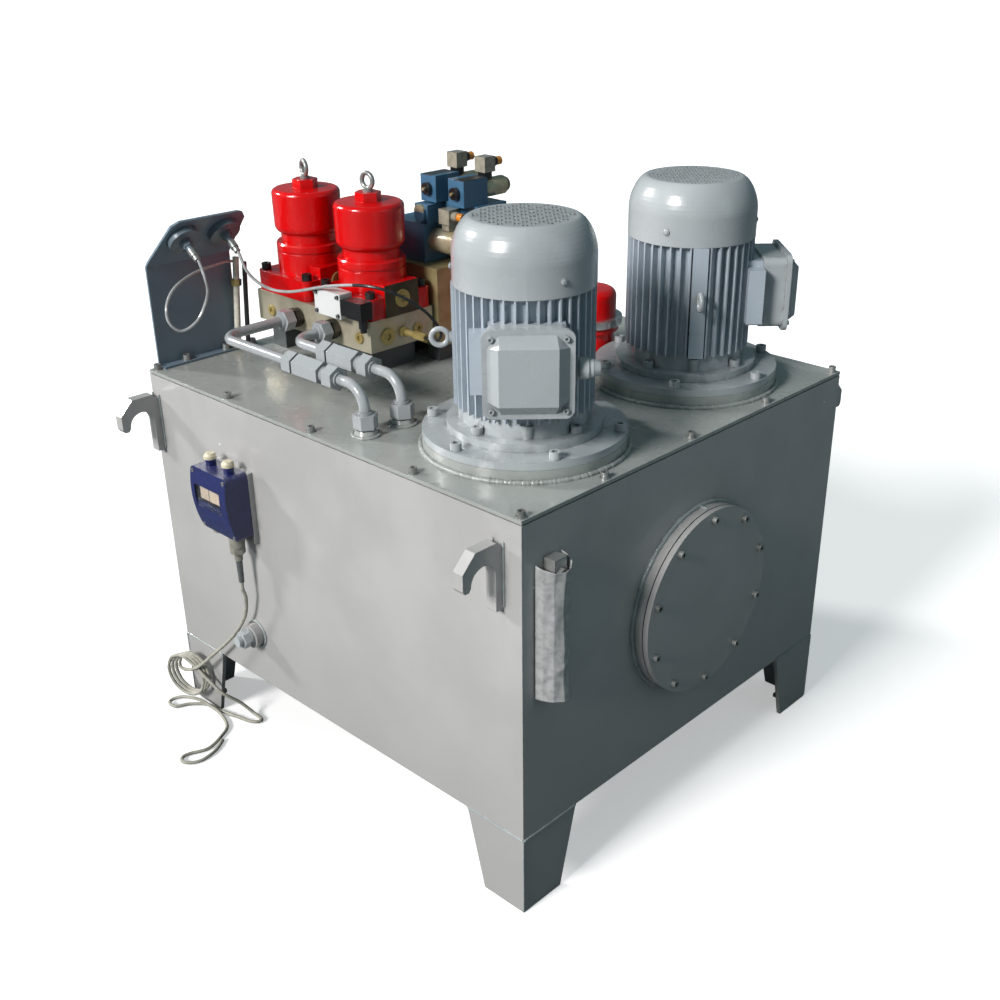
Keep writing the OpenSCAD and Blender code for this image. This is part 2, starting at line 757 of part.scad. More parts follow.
// Two gauge hoses with their ferrules, and two stiff tubes that stand behind the panel
module gauge_hoses() {
    loop = [behind_gauge(gauge_y[0], ferrule_end - 4), behind_gauge(gauge_y[0], ferrule_end + 6),
        [-361, -361, 898], [-365, -356, 872], [-370, -362, 846], [-375, -379, 819],
        [-382, -407, 806], [-390, -425, 822], [-398, -423, 848], [-408, -401, 873],
        [-418, -363, 888], [-428, -319, 894], [-438, -270, 895], [-445, -246, 892]];
    run = [behind_gauge(gauge_y[1], ferrule_end - 4), behind_gauge(gauge_y[1], ferrule_end + 6),
        [-362, -271, 892], [-346, -258, 870], [-324, -244, 859], [-294, -233, 859],
        [-259, -228, 867], [-211, -225, 881], [-159, -220, 893], [-108, -213, 901],
        [-76, -200, 899], [-52, -178, 887], [-36, -156, 870], [-28, -136, 851], [-22, -119, 828],
        [-20, -111, 808], [-30, -113, 796], [-47, -118, z_line - 2], [-58, -118, z_line - 2]];
    color([0.78, 0.78, 0.78]) {
        flexible_line(loop, hose_r, 5, 10);
        flexible_line(run, hose_r, 5, 10);
        for (y = gauge_y) at_gauge(y) translate([0, 0, -ferrule_end]) {
            tube(6, hose_r + 0.3, 10);
            translate([0, 0, 9]) tube(7.5, hose_r + 0.3, 15 - gap);
            translate([0, 0, 23]) tube(3.9, hose_r + 0.3, 8);
        }
        translate([-455, -246, z_lid + panel_t + gap]) {
            rotate([-5.2, 0, 0]) translate([0, 0, 2]) cylinder(r = 6, h = 172);
            hexagon(19, 10);
            rotate([-5.2, 0, 0]) translate([0, 0, 120]) hexagon(17, 12);
        }
        translate([-443, -231, z_lid]) rotate([-3.6, 0, 0]) translate([0, 0, 1]) cylinder(r = 4.5, h = 168);
    }
}

// ---------- Filters ----------

module at_filters() for (x = filter_x) translate([x, filter_y, z_head]) children();

module at_head_screws()
    for (i = [-1, 1], j = [-1, 1]) translate([head_screw[0] * i, head_screw[1] * j, 0]) children();

module filter_manifold() {
    color(zinc) difference() {
        translate([block_x, block_y, z_block]) cube([manifold_l, manifold_w, manifold_h]);
        for (k = [0, 1]) {
            translate([port_x[k], block_y - eps, port_z]) along_y() cylinder(r = 13 + gap, h = 20 + eps);
            translate([port_x[k], block_y, port_z]) along_y() cylinder(r = 7, h = filter_y - block_y);
            translate([min(port_x[k], filter_x[k]), filter_y, port_z]) along_x()
                cylinder(r = 7, h = abs(filter_x[k] - port_x[k]));
            translate([filter_x[k], filter_y, port_z]) cylinder(r = 9, h = 60);
        }
        at_filters() at_head_screws() translate([0, 0, -16]) cylinder(d = m12 + 2 * gap, h = 30);
        for (p = front_plugs) translate([p[0], block_y - eps, plug_z]) along_y()
            cylinder(r = p[1] - 3 + gap, h = 14);
        for (p = side_plugs) translate([block_x + manifold_l + eps, p[0], plug_z]) rotate([0, -90, 0])
            cylinder(r = p[1] - 3 + gap, h = 14);
        translate([block_x + manifold_l + eps, -118, z_line - 2]) rotate([0, -90, 0])
            cylinder(r = 6 + gap, h = 14);
        // Pressure outlet on the -X face
        translate([block_x - eps, filter_y, port_z]) along_x() cylinder(r = 12, h = 22);
        translate([block_x, filter_y, port_z]) along_x() cylinder(r = 7, h = filter_x[0] - block_x);
    }
}

module manifold_feet() {
    color(steel) {
        for (x = [-428, -190]) difference() {
            translate([x, -180, z_lid]) cube([40, 120, z_block - z_lid]);
            translate([x - eps, -170, z_lid + 6]) cube([34, 140, z_block - z_lid - 12]);
        }
        for (x = [vm_x[0] + 8, vm_x[1] - 38]) translate([x, vm_y[0] + 6, z_lid])
            cube([30, vm_y[1] - vm_y[0] - 12, z_vm - z_lid]);
    }
}

module filter_heads() {
    color(red) at_filters() difference() {
        union() {
            rounded_plate(2 * head_half_x, 2 * head_half_y, lug_r, head_base_h);
            translate([-40, -40, 0]) cube([42 + head_half_x, 80, head_base_h + 21]);
            cylinder(r = 62, h = head_top - 18);
            cylinder(r = 60, h = head_top - 14);
            translate([0, 0, head_top - 14]) cylinder(r = 62, h = 11);
            translate([0, 0, head_top - 3 - gap]) cylinder(r1 = 62, r2 = 60, h = 3);
        }
        translate([0, 0, bowl_bottom - 2]) cylinder(r = 52 + gap, h = 60);
        translate([0, 0, 20]) cylinder(r = 46, h = 60);
        translate([0, 0, -eps]) cylinder(r = 9, h = 40);
        at_head_screws() translate([0, 0, -eps]) cylinder(r = 6.7, h = head_base_h + 2);
        at_head_screws() translate([0, 0, head_base_h]) cylinder(r = 11, h = 40);
        translate([head_half_x + 2 + eps, 0, 30]) rotate([0, -90, 0]) cylinder(r = 13 + gap, h = 16);
    }
}

function bowl_outside() = concat(
    [[0, bowl_top + 1], [30, bowl_top + 0.6]],
    arc(bowl_r - 9, bowl_top - 9, 9, 80, 0),
    arc(bowl_r - 16, bowl_top - 66, 15, 0, -70),
    [[52, bowl_bottom + 36], [52, bowl_bottom]]);

function bowl_inside() = [[46, bowl_bottom], [46, bowl_bottom + 42], [bowl_r - 6, bowl_top - 50],
    [bowl_r - 6, bowl_top - 10], [0, bowl_top - 8]];

module filter_bowls() {
    color(red) at_filters() difference() {
        union() {
            rotate_extrude() polygon(concat(bowl_outside(), bowl_inside()));
            translate([0, 0, bowl_top - 4]) hexagon(41, 20);
        }
        translate([0, 0, bowl_top]) cylinder(d = m8 + 2 * gap, h = 40);
    }
}

module filter_elements() {
    color([0.85, 0.83, 0.75]) at_filters() translate([0, 0, 20 + gap]) difference() {
        cylinder(r = 40, h = bowl_top - 36);
        translate([0, 0, -eps]) cylinder(r = 15, h = bowl_top - 50);
    }
}

module eyebolt(shank) {
    translate([0, 0, -shank]) cylinder(d = m8, h = shank + eps);
    cylinder(r = 9, h = 4);
    translate([0, 0, 19]) rotate([90, 0, 0]) rotate_extrude() translate([13, 0]) circle(4.2, $fn = 32);
}

module eyebolts() {
    color(steel) {
        for (k = [0, 1]) translate([filter_x[k], filter_y, z_head + bowl_top + 16 + gap])
            rotate([0, 0, filter_eye_angle[k]]) eyebolt(12);
        place_motors() translate([0, -112 - gap, z_motor + eye_z]) rotate([90, 0, 0])
            rotate([0, 0, 90]) eyebolt(10);
    }
}

module at_switch_screws()
    for (i = [-1, 1], j = [-1, 1])
        translate([switch_x + 30 * i, block_y + 2 - switch_depth, z_head + 24 + 17 * j])
            rotate([90, 0, 0]) children();

module pressure_switch() {
    color([0.88, 0.88, 0.86]) difference() {
        translate([switch_x, block_y + 2 - gap, z_head + 24])
            rotate([90, 0, 0]) rounded_plate(72, 46, 2, switch_depth - gap);
        at_switch_screws() translate([0, 0, -9]) cylinder(d = m4 + 2 * gap, h = 20);
    }
}

// Plug with a hexagon socket, its collar at z = 0 and its shank below
module socket_plug(r) {
    difference() {
        union() {
            cylinder(r = r, h = 3.5);
            translate([0, 0, -12]) cylinder(r = r - 3, h = 12 + eps);
        }
        translate([0, 0, 0.5]) hexagon(r * 0.8, 10);
    }
}

module port_fittings() {
    x_face = block_x + manifold_l;
    color([0.80, 0.70, 0.42]) {
        for (p = front_plugs) translate([p[0], block_y - gap, plug_z]) rotate([90, 0, 0]) socket_plug(p[1]);
        for (p = side_plugs) translate([x_face + gap, p[0], plug_z]) along_x() socket_plug(p[1]);
        for (x = filter_x) translate([x + head_half_x + 2 + gap, filter_y, z_head + 30]) along_x()
            socket_plug(16);
        translate([x_face, -118, z_line - 2]) along_x() difference() {
            union() {
                translate([0, 0, -12]) cylinder(r = 6, h = 50);
                translate([0, 0, gap]) hexagon(17, 10);
                translate([0, 0, 36]) hexagon(14, 28);
            }
            translate([0, 0, 50]) cylinder(r = hose_r + 0.3, h = 20);
        }
    }
}

// ---------- Delivery lines ----------

// Pipe fitting along z: adapter with a shank in the block, and a nut
module port_adapter() {
    difference() {
        union() {
            translate([0, 0, -19]) cylinder(r = 13, h = 20);
            translate([0, 0, gap]) cylinder(r = 17, h = 4);
            translate([0, 0, 4]) hexagon(32, 12);
            translate([0, 0, 16 - eps]) cylinder(r = 14, h = 6);
            translate([0, 0, 20]) hexagon(nut_af, 20);
            translate([0, 0, 40 - eps]) cylinder(r1 = 15, r2 = 12, h = 6);
        }
        translate([0, 0, -20]) cylinder(r = bore_r, h = 80);
        translate([0, 0, 20]) cylinder(r = pipe_r + gap, h = 80);
    }
}

module line_nut() {
    difference() {
        union() {
            cylinder(r = 12.5, h = 4);
            translate([0, 0, 4 - eps]) hexagon(nut_af, 24);
        }
        translate([0, 0, -eps]) cylinder(r = pipe_r + gap, h = 80);
    }
}

module pipe_fittings() {
    color(paint) {
        for (k = [0, 1]) {
            translate([port_x[k], block_y, port_z]) rotate([90, 0, 0]) port_adapter();
            translate([valve_x[0] - 32, line_y[k], z_line]) along_x() line_nut();
            translate([valve_x[1] + 32, line_y[k], z_line]) rotate([0, -90, 0]) line_nut();
            translate([line_x[k], line_y[k], z_lid + boss_h + 30]) rotate([180, 0, 0]) line_nut();
        }
    }
}

module delivery_pipes() {
    out_x = motor_x + port_off;
    color(paint) {
        for (k = [0, 1]) bent_pipe([
            [port_x[k], block_y - 21, port_z], [port_x[k], line_y[k], z_line],
            [valve_x[0] + 14, line_y[k], z_line]], bend_r);
        bent_pipe([
            [out_x, -motor_y - pump_port_y, z_port], [out_x, line_y[0], z_port],
            [line_x[0], line_y[0], z_port], [line_x[0], line_y[0], z_line],
            [valve_x[1] - 14, line_y[0], z_line]], bend_r);
        bent_pipe([
            [out_x, motor_y - pump_port_y, z_port], [out_x, 60, z_port],
            [line_x[1], 60, z_port], [line_x[1], line_y[1], z_port],
            [line_x[1], line_y[1], z_line], [valve_x[1] - 14, line_y[1], z_line]], bend_r);
    }
}

module check_valve_bodies() {
    body_l = valve_x[1] - valve_x[0];
    seat = poppet_seat_x - valve_x[0];
    color(paint) for (k = [0, 1]) translate([valve_x[0], line_y[k], z_line]) along_x() difference() {
        union() {
            hexagon(nut_af, body_l - 8);
            cylinder(r = 14, h = body_l);
        }
        translate([0, 0, -eps]) cylinder(r = pipe_r + gap, h = 21 + eps);
        translate([0, 0, 20]) cylinder(r = poppet_r + gap, h = seat - 20);
        translate([0, 0, seat - eps]) cylinder(r = 6, h = 20);
        translate([0, 0, body_l - 14 - gap]) cylinder(r = pipe_r + gap, h = 20);
    }
}

// Poppet that closes against its seat and lifts towards -X
module check_poppet(k) {
    color(steel) translate([poppet_seat_x - poppet_len - gap, line_y[k], z_line]) along_x() difference() {
        union() {
            cylinder(r = poppet_r, h = poppet_len - 3);
            translate([0, 0, poppet_len - 3 - eps]) cylinder(r1 = poppet_r, r2 = 6.5, h = 3 + eps);
        }
        translate([0, 0, -eps]) cylinder(r = 6, h = 8);
    }
}

module check_poppet_a() check_poppet(0);

module check_poppet_b() check_poppet(1);

// ---------- Valves ----------

module valve_manifold() {
    color([0.66, 0.60, 0.36]) difference() {
        union() {
            translate([vm_x[0], vm_y[0], z_vm])
                cube([vm_x[1] - vm_x[0], vm_y[1] - vm_y[0], z_vm_top - z_vm]);
            translate([-185, 44, z_vm_top - eps]) cube([75, 56, z_main_top - z_vm_top + eps]);
        }
        // Work ports on the +Y face
        for (x = [-215, -140]) translate([x, vm_y[1] + eps, z_vm + 70]) rotate([90, 0, 0])
            cylinder(r = 10, h = 24);
    }
}

module main_valve() {
    color(valve_blue) {
        difference() {
            translate([-245, main_valve_y[0], z_vm_top + gap])
                cube([90, main_valve_y[1] - main_valve_y[0], z_main_top - z_vm_top - 2 * gap]);
            translate([-155 + eps, 10, solenoid_z]) rotate([0, -90, 0]) cylinder(r = 12 + gap, h = 20);
        }
    }
}

module pilot_valves() {
    color(valve_blue) {
        translate([-185, 25, z_main_top + gap]) cube([125, 75, pilot_z - z_main_top - 2 * gap]);
        translate([-182, -16, z_main_top + gap]) cube([34, 40, pilot_z - z_main_top - 3]);
        for (x = pilot_x) difference() {
            translate([x - pilot_w / 2, 0, pilot_z]) cube([pilot_w, pilot_len, pilot_h]);
            translate([x, -eps, pilot_z + pilot_h / 2]) along_y() cylinder(r = pin_r + gap, h = 28);
            translate([x, pilot_len + eps, pilot_z + pilot_h / 2]) rotate([90, 0, 0])
                cylinder(r = 11 + gap, h = 12);
        }
    }
}

module valve_solenoids() {
    color([0.72, 0.70, 0.64]) {
        translate([-154.9, 10, solenoid_z]) along_x() {
            translate([0, 0, -18]) cylinder(r = 12, h = 19);
            cylinder(r = 22, h = 92);
            translate([0, 0, 92 - eps]) cylinder(r = 13, h = 9);
        }
        for (x = pilot_x) translate([x, pilot_len + 0.1, pilot_z + pilot_h / 2]) along_y() {
            translate([0, 0, -11]) cylinder(r = 11, h = 12);
            cylinder(r = 17, h = 58);
            translate([0, 0, 58 - eps]) cylinder(r = 13, h = 9);
        }
        for (x = pilot_x) translate([x, -0.1, pilot_z + pilot_h / 2]) rotate([90, 0, 0]) {
            tube(11, pin_r + gap, 8);
        }
        translate([-165, -16.1, z_main_top + 18]) rotate([90, 0, 0]) rounded_plate(26, 32, 12.9, 6);
    }
}

// Plug with a narrow foot on its coil and a cable end that points along Y
module coil_plug() {
    translate([-9, 4, 0]) cube([18, 18, 13]);
    translate([-13, 0, 12]) cube([26, 27, 27]);
    translate([0, 27 - eps, 27]) along_y() {
        cylinder(r = 8.5, h = 12);
        translate([0, 0, 11]) cylinder(r = 7.5, h = 14);
    }
}

module din_plugs() {
    color([0.55, 0.55, 0.52]) {
        for (x = pilot_x) translate([x, pilot_len + 1, pilot_z + pilot_h / 2 + 17 + gap]) coil_plug();
        translate([-120, 10, solenoid_z + 22.2]) rotate([0, 0, -90]) translate([0, -13, 0]) coil_plug();
        translate([switch_x + 36.2, block_y - 25, z_head + 10]) {
            cube([14, 26, 28]);
            translate([13, 0, -2]) cube([42, 26, 32]);
            translate([44, 13, -18]) cylinder(r = 8, h = 18);
            translate([44, 13, -26]) cylinder(r = 6, h = 9);
        }
    }
}

module override_pin(k) {
    color(steel) translate([pilot_x[k], -14, pilot_z + pilot_h / 2]) along_y() cylinder(r = pin_r, h = 34);
}

module override_pin_1() override_pin(0);

module override_pin_2() override_pin(1);

// ---------- Motors ----------

module bell_housings() {
    color(paint) place_motors() difference() {
        union() {
            translate([0, 0, z_ring]) cylinder(r = ring_r - 0.5, h = bell_flange_t - gap);
            translate([0, 0, z_pump]) cylinder(r = bell_r, h = bell_len - bell_flange_t + eps);
        }
        translate([0, 0, z_pump + 12]) cylinder(r = spigot_r + gap, h = bell_len);
        translate([0, 0, z_pump - eps]) cylinder(r = 26, h = 20);
        for (s = [-1, 1]) translate([0, 53 * s, z_pump - eps]) cylinder(d = m8 + 2 * gap, h = 20);
        translate([0, 0, z_ring - eps]) round_the_circle(6, ring_pcd_r, 15) cylinder(r = 6.7, h = 20);
        translate([0, 0, z_ring - eps]) round_the_circle(4, flange_pcd_r, 45)
            cylinder(d = m12 + 2 * gap, h = 20);
    }
}

module at_cowl_screws(m)
    translate([0, 0, z_motor + cowl_z + cowl_screw_z])
        round_the_circle(cowl_screws_n, cowl_r + gap, cowl_screw_angle[m]) along_x() children();

module upper_end_shield(m) {
    at_motor(m) difference() {
        translate([0, 0, z_motor + cowl_z + gap]) difference() {
            cylinder(r = cowl_r - cowl_t - 2 * gap, h = 34);
            translate([0, 0, 14]) cylinder(r = 96, h = 40);
            translate([0, 0, -eps]) cylinder(r = shaft_r + gap, h = 20);
        }
        at_cowl_screws(m) translate([0, 0, -20]) cylinder(d = m5 + 2 * gap, h = 25);
    }
}

module motor_end_shields() {
    color(paint) for (m = [0, 1]) upper_end_shield(m);
    color(paint) place_motors() translate([0, 0, z_motor]) {
        difference() {
            union() {
                translate([0, 0, -4]) cylinder(r = spigot_r, h = 5);
                cylinder(r = flange_r, h = flange_t - gap);
                translate([0, 0, flange_t - eps])
                    cylinder(r1 = 101, r2 = 97, h = frame_z - flange_t + eps - gap);
                round_the_circle(4, 96, 0) cylinder(r = 10, h = frame_z - 4);
            }
            translate([0, 0, -10]) cylinder(r = shaft_r + gap, h = 100);
            translate([0, 0, 12]) cylinder(r = 78, h = 60);
            translate([0, 0, -eps]) round_the_circle(4, flange_pcd_r, 45) cylinder(r = 6.7, h = 20);
            translate([0, 0, flange_t - gap]) round_the_circle(4, flange_pcd_r, 45) cylinder(r = 11, h = 60);
        }
    }
}

// Fins leave room for the terminal box pad and the eyebolt rib
module frame_section() {
    difference() {
        union() {
            circle(frame_r, $fn = 96);
            for (i = [0:fin_places - 1]) rotate(i * 360 / fin_places)
                translate([frame_r - 4, -1.6]) square([fin_r - frame_r + 4, 3.2]);
            translate([-13, -112]) square([26, 30]);
        }
        circle(stator_r, $fn = 96);
    }
}

module motor_frames() {
    pad_h = terminal_w - 20;
    color(paint) place_motors() translate([0, 0, z_motor + frame_z]) difference() {
        union() {
            linear_extrude(frame_h) frame_section();
            translate([frame_r - 8, -pad_h / 2, terminal_z - frame_z - pad_h / 2])
                cube([terminal_in - frame_r + 8 - gap, pad_h, pad_h]);
            translate([frame_r - 8, -85, terminal_z - frame_z - 47]) cube([28, 85, 94]);
        }
        translate([0, -90, eye_z - frame_z]) rotate([90, 0, 0]) cylinder(d = m8 + 2 * gap, h = 30);
    }
}

module motor_stators() {
    color([0.55, 0.35, 0.20]) place_motors() translate([0, 0, z_motor + frame_z + 25]) {
        tube(stator_r - gap, rotor_r + 0.5, 140);
        for (z = [-18, 140]) translate([0, 0, z]) tube(stator_r - 8, rotor_r + 6, 18);
    }
}

module at_cover_screws()
    for (i = [-1, 1], j = [-1, 1]) translate([i * cover_screw, j * cover_screw, 0]) children();

module terminal_boxes() {
    w = terminal_w - 12;
    depth = terminal_mid - terminal_in;
    color(paint) place_motors() translate([terminal_in, 0, z_motor + terminal_z]) along_x() difference() {
        rounded_plate(w, w, 12, depth);
        difference() {
            translate([0, 0, 6]) rounded_plate(w - 12, w - 12, 8, depth);
            at_cover_screws() cylinder(r = 6, h = depth);
        }
        translate([0, w / 2 - 10, 20]) along_y() cylinder(r = 10 + gap, h = 20);
        at_cover_screws() translate([0, 0, depth - 14]) cylinder(d = m5 + 2 * gap, h = 20);
    }
}

// Raised block: its sides taper to a square top, and its lower corners are cut
module tapered_block(w, h) {
    top = w - 34;
    cut = 20;
    intersection() {
        rotate([0, 0, 45]) cylinder(r1 = w / sqrt(2), r2 = top / sqrt(2), h = h, $fn = 4);
        cylinder(r1 = w - cut, r2 = top, h = h, $fn = 4);
    }
}

module terminal_covers() {
    color(paint) place_motors() translate([terminal_mid + gap, 0, z_motor + terminal_z]) along_x() {
        difference() {
            union() {
                rounded_plate(terminal_w, terminal_w, 14, cover_plate_t);
                translate([0, 0, cover_plate_t - 1])
                    tapered_block(terminal_w - 14, cover_block_h + 1);
            }
            translate([0, 0, -eps]) rounded_plate(terminal_w - 46, terminal_w - 46, 8, cover_plate_t);
            at_cover_screws() translate([0, 0, -eps]) cylinder(r = 2.8, h = cover_plate_t + 10);
        }
    }
}

// Ringed glands of the motor cables
module motor_glands() {
    w = terminal_w - 12;
    place_motors() translate([terminal_in + 20, w / 2, z_motor + terminal_z]) along_y() {
        translate([0, 0, -6]) cylinder(r = 10, h = 7);
        translate([0, 0, gap]) cylinder(r = 16.5, h = 6);
        translate([0, 0, 5]) cylinder(r = 13.5, h = 9);
        translate([0, 0, 13]) cylinder(r = 16, h = 14);
        translate([0, 0, 26]) cylinder(r = 14, h = 8);
        translate([0, 0, 33]) cylinder(r1 = 14, r2 = 10, h = 11);
    }
}

module cable_glands() {
    color([0.88, 0.85, 0.74]) {
        sensor_glands();
        motor_glands();
    }
}

// Punched grille: pairs of slots that change direction from cell to cell
module grille(r) {
    cell = 12;
    slot = [10, 3.2];
    reach = ceil(r / cell);
    difference() {
        circle(r, $fn = 96);
        for (i = [-reach:reach], j = [-reach:reach], s = [-1, 1])
            if (norm([i, j]) * cell < r - 7)
                translate([i * cell, j * cell]) rotate((i + j) % 2 == 0 ? 0 : 90)
                    translate([0, s * 2.9]) square(slot, center = true);
    }
}

// Half outline of the cowl, drawn in by t: straight sides and an oval shoulder
function cowl_profile(t) = concat(
    [[cowl_r - t, 0]],
    [for (a = [0:9:90]) [cowl_r - cowl_round[0] + (cowl_round[0] - t) * pow(cos(a), 1.2),
        cowl_h - cowl_round[1] + (cowl_round[1] - t) * pow(sin(a), 1.2)]],
    [[0, cowl_h - t]]);

module fan_cowls() {
    grille_r = cowl_r - cowl_round[0];
    color(paint) for (m = [0, 1]) at_motor(m) difference() {
        translate([0, 0, z_motor + cowl_z + 2 * gap]) {
            difference() {
                rotate_extrude($fn = 96) polygon(concat(cowl_profile(0), [[0, 0]]));
                rotate_extrude($fn = 96) polygon(concat([[0, -eps], [cowl_r - cowl_t, -eps]],
                    cowl_profile(cowl_t)));
                translate([0, 0, cowl_h - 10]) cylinder(r = grille_r, h = 20, $fn = 96);
            }
            translate([0, 0, cowl_h - cowl_t]) linear_extrude(cowl_t) grille(grille_r + gap);
        }
        at_cowl_screws(m) translate([0, 0, -10]) cylinder(d = m5 + 4 * gap, h = 20);
    }
}

module motor_shaft(m) {
    color(steel) at_motor(m) translate([0, 0, z_motor]) {
        translate([0, 0, -60]) cylinder(r = shaft_r, h = 60 + cowl_z + 62);
        translate([0, 0, frame_z + 30]) cylinder(r = rotor_r, h = 130);
    }
}

module motor_shaft_1() motor_shaft(0);

module motor_shaft_2() motor_shaft(1);

module cooling_fan(m) {
    color(black) at_motor(m) translate([0, 0, z_motor + cowl_z + 24]) difference() {
        union() {
            cylinder(r = 24, h = 34);
            cylinder(r = 86, h = 3);
            for (i = [0:6]) rotate([0, 0, i * 360 / 7]) translate([20, -1.5, 1]) cube([63, 3, 31]);
        }
        translate([0, 0, -eps]) cylinder(r = shaft_r + gap, h = 40);
    }
}

module cooling_fan_1() cooling_fan(0);

module cooling_fan_2() cooling_fan(1);

module shaft_coupling(m) {
    color([0.75, 0.75, 0.72]) at_motor(m) {
        translate([0, 0, z_motor - 62]) tube(32, shaft_r + gap, 45);
        translate([0, 0, z_motor - 78 + gap]) tube(30, 10, 16 - 2 * gap);
        translate([0, 0, z_motor - 118]) tube(32, pump_shaft_r + gap, 40);
    }
}

module shaft_coupling_1() shaft_coupling(0);

module shaft_coupling_2() shaft_coupling(1);

// ---------- Pumps, strainers and return filter ----------

module at_pump(m) translate([motor_x, (2 * m - 1) * motor_y, 0]) children();

module pump_section(r) {
    circle(r);
    translate([-2 * pitch_r, 0]) circle(r);
    translate([-2 * pitch_r, -r]) square([2 * pitch_r, 2 * r]);
}

module pump_bodies() {
    color([0.70, 0.71, 0.72]) for (m = [0, 1]) at_pump(m) difference() {
        union() {
            translate([0, 0, z_pump - pump_h]) linear_extrude(pump_h - pump_top_t + eps)
                pump_section(pump_wall_r);
            translate([0, 0, z_pump - pump_top_t]) rotate([0, 0, 90 * m - 45])
                translate([-32, -66, 0]) cube([64, 132, pump_top_t]);
            translate([0, 0, z_pump - eps]) cylinder(r = 26 - gap, h = 6 + eps);
        }
        translate([0, 0, z_gear - gap]) cylinder(r = chamber_r + gap, h = gear_h + 2 * gap);
        translate([-2 * pitch_r, 0, z_gear - gap]) cylinder(r = chamber_r + gap, h = gear_h + 2 * gap);
        translate([0, 0, z_pump - pump_h + 12]) cylinder(r = pump_shaft_r + gap, h = pump_h + 20);
        translate([-2 * pitch_r, 0, z_pump - pump_h + 12]) cylinder(r = pump_shaft_r + gap, h = pump_h - 30);
        translate([port_off, 0, z_port]) rotate([90, 0, 0]) cylinder(r = bore_r, h = 60);
        translate([port_off, gap - pump_port_y, z_port]) rotate([90, 0, 0])
            cylinder(r = pipe_r + gap, h = 60);
        translate([port_off, 0, z_port]) along_y() cylinder(r = 10, h = 60);
        translate([port_off, pump_port_y - gap, z_port]) along_y() cylinder(r = suction_r + gap, h = 60);
        rotate([0, 0, 90 * m - 45]) for (s = [-1, 1])
            translate([0, 53 * s, z_pump - pump_top_t - eps]) cylinder(d = m8 + 1, h = 30);
    }
}

// Gear outline: straight-sided teeth, narrow enough to turn freely in mesh
function gear_outline(start) = [
    for (i = [0:gear_teeth - 1], c = [[15.4, -12.5], [23.6, -3.2], [23.6, 3.2], [15.4, 12.5]])
        let (a = start + i * 360 / gear_teeth + c[1]) [c[0] * cos(a), c[0] * sin(a)]
];

module gear(start, shaft_end) {
    translate([0, 0, z_gear]) linear_extrude(gear_h) polygon(gear_outline(start));
    translate([0, 0, z_pump - pump_h + 13]) cylinder(r = pump_shaft_r, h = shaft_end - z_pump + pump_h - 13);
}

// The drive gear's shaft reaches up into the coupling
module drive_gear(m) {
    color(steel) at_pump(m) gear(0, z_pump + 66);
}

module drive_gear_1() drive_gear(0);

module drive_gear_2() drive_gear(1);

// The driven gear stands half a tooth round from the drive gear
module driven_gear(m) {
    color(steel) at_pump(m) translate([-2 * pitch_r, 0, 0]) gear(180 / gear_teeth, z_pump - 20);
}

module driven_gear_1() driven_gear(0);

module driven_gear_2() driven_gear(1);

module suction_strainers() {
    color(steel) for (m = [0, 1]) at_pump(m) {
        difference() {
            bent_bar([[port_off, pump_port_y, z_port], [port_off, 75, z_port],
                [port_off, 75, 345]], suction_r, 30);
            bent_bar([[port_off, pump_port_y - 5, z_port], [port_off, 75, z_port],
                [port_off, 75, 330]], suction_r - 2.5, 30);
        }
        translate([port_off, 75, 200]) difference() {
            union() {
                for (z = [0, 132]) translate([0, 0, z]) cylinder(r = 42, h = 8);
                round_the_circle(16, 38) translate([-1.5, -1.5, 4]) cube([3, 3, 132]);
                for (z = [30:26:110]) translate([0, 0, z]) tube(40, 36, 5);
            }
            translate([0, 0, 100]) cylinder(r = suction_r + gap, h = 60);
        }
    }
}

module at_return_screws()
    for (a = return_screw_angles) rotate([0, 0, a]) translate([return_screw_r, 0, 0]) children();

// Its flange is cut flat on the side next to the motor
module return_filter() {
    bore = return_body_r - 4;
    color(red) translate([return_x, return_y, z_lid]) {
        difference() {
            union() {
                difference() {
                    cylinder(r = return_flange_r, h = 10);
                    translate([50, -100, -eps]) cube([50, 200, 20]);
                }
                translate([0, 0, -180]) cylinder(r = return_body_r, h = 231);
                translate([0, 0, 50]) cylinder(r = return_body_r + 8, h = 12);
                translate([-70, 0, return_port_z]) along_x() cylinder(r = 24, h = 40);
            }
            translate([0, 0, -172]) cylinder(r = bore, h = 250);
            translate([0, 0, -200]) cylinder(r = 20, h = 60);
            translate([-71, 0, return_port_z]) along_x() cylinder(r = 16.6, h = 60);
            translate([0, 0, -eps]) at_return_screws() cylinder(d = m8 + 1, h = 20);
        }
        translate([0, 0, 62 + gap]) tube(62, bore, 14);
        translate([0, 0, 76 + 2 * gap]) difference() {
            rotate_extrude() polygon(concat([[0, 0], [50, 0]], arc(36, 38, 14, 0, 90), [[0, 54]]));
            translate([0, 0, -eps]) cylinder(r = 44, h = 30);
        }
    }
}

tank_shell();
tank_legs();
lifting_hooks();
gaskets();
tank_lid();
cleanout_cover();
socket_screws();
drain_plug();
level_gauge();
level_gauge_sleeve();
sensor_bracket();
sensor_box();
cable_glands();
sensor_cable();
clear_windows();
gauge_panel();
gauge_cases();
needle_left();
needle_right();
gauge_hoses();
filter_manifold();
manifold_feet();
filter_heads();
filter_bowls();
filter_elements();
eyebolts();
pressure_switch();
port_fittings();
pipe_fittings();
delivery_pipes();
check_valve_bodies();
check_poppet_a();
check_poppet_b();
valve_manifold();
main_valve();
pilot_valves();
valve_solenoids();
din_plugs();
override_pin_1();
override_pin_2();
bell_housings();
motor_end_shields();
motor_frames();
motor_stators();
terminal_boxes();
terminal_covers();
fan_cowls();
motor_shaft_1();
motor_shaft_2();
cooling_fan_1();
cooling_fan_2();
shaft_coupling_1();
shaft_coupling_2();
pump_bodies();
drive_gear_1();
drive_gear_2();
driven_gear_1();
driven_gear_2();
suction_strainers();
return_filter();
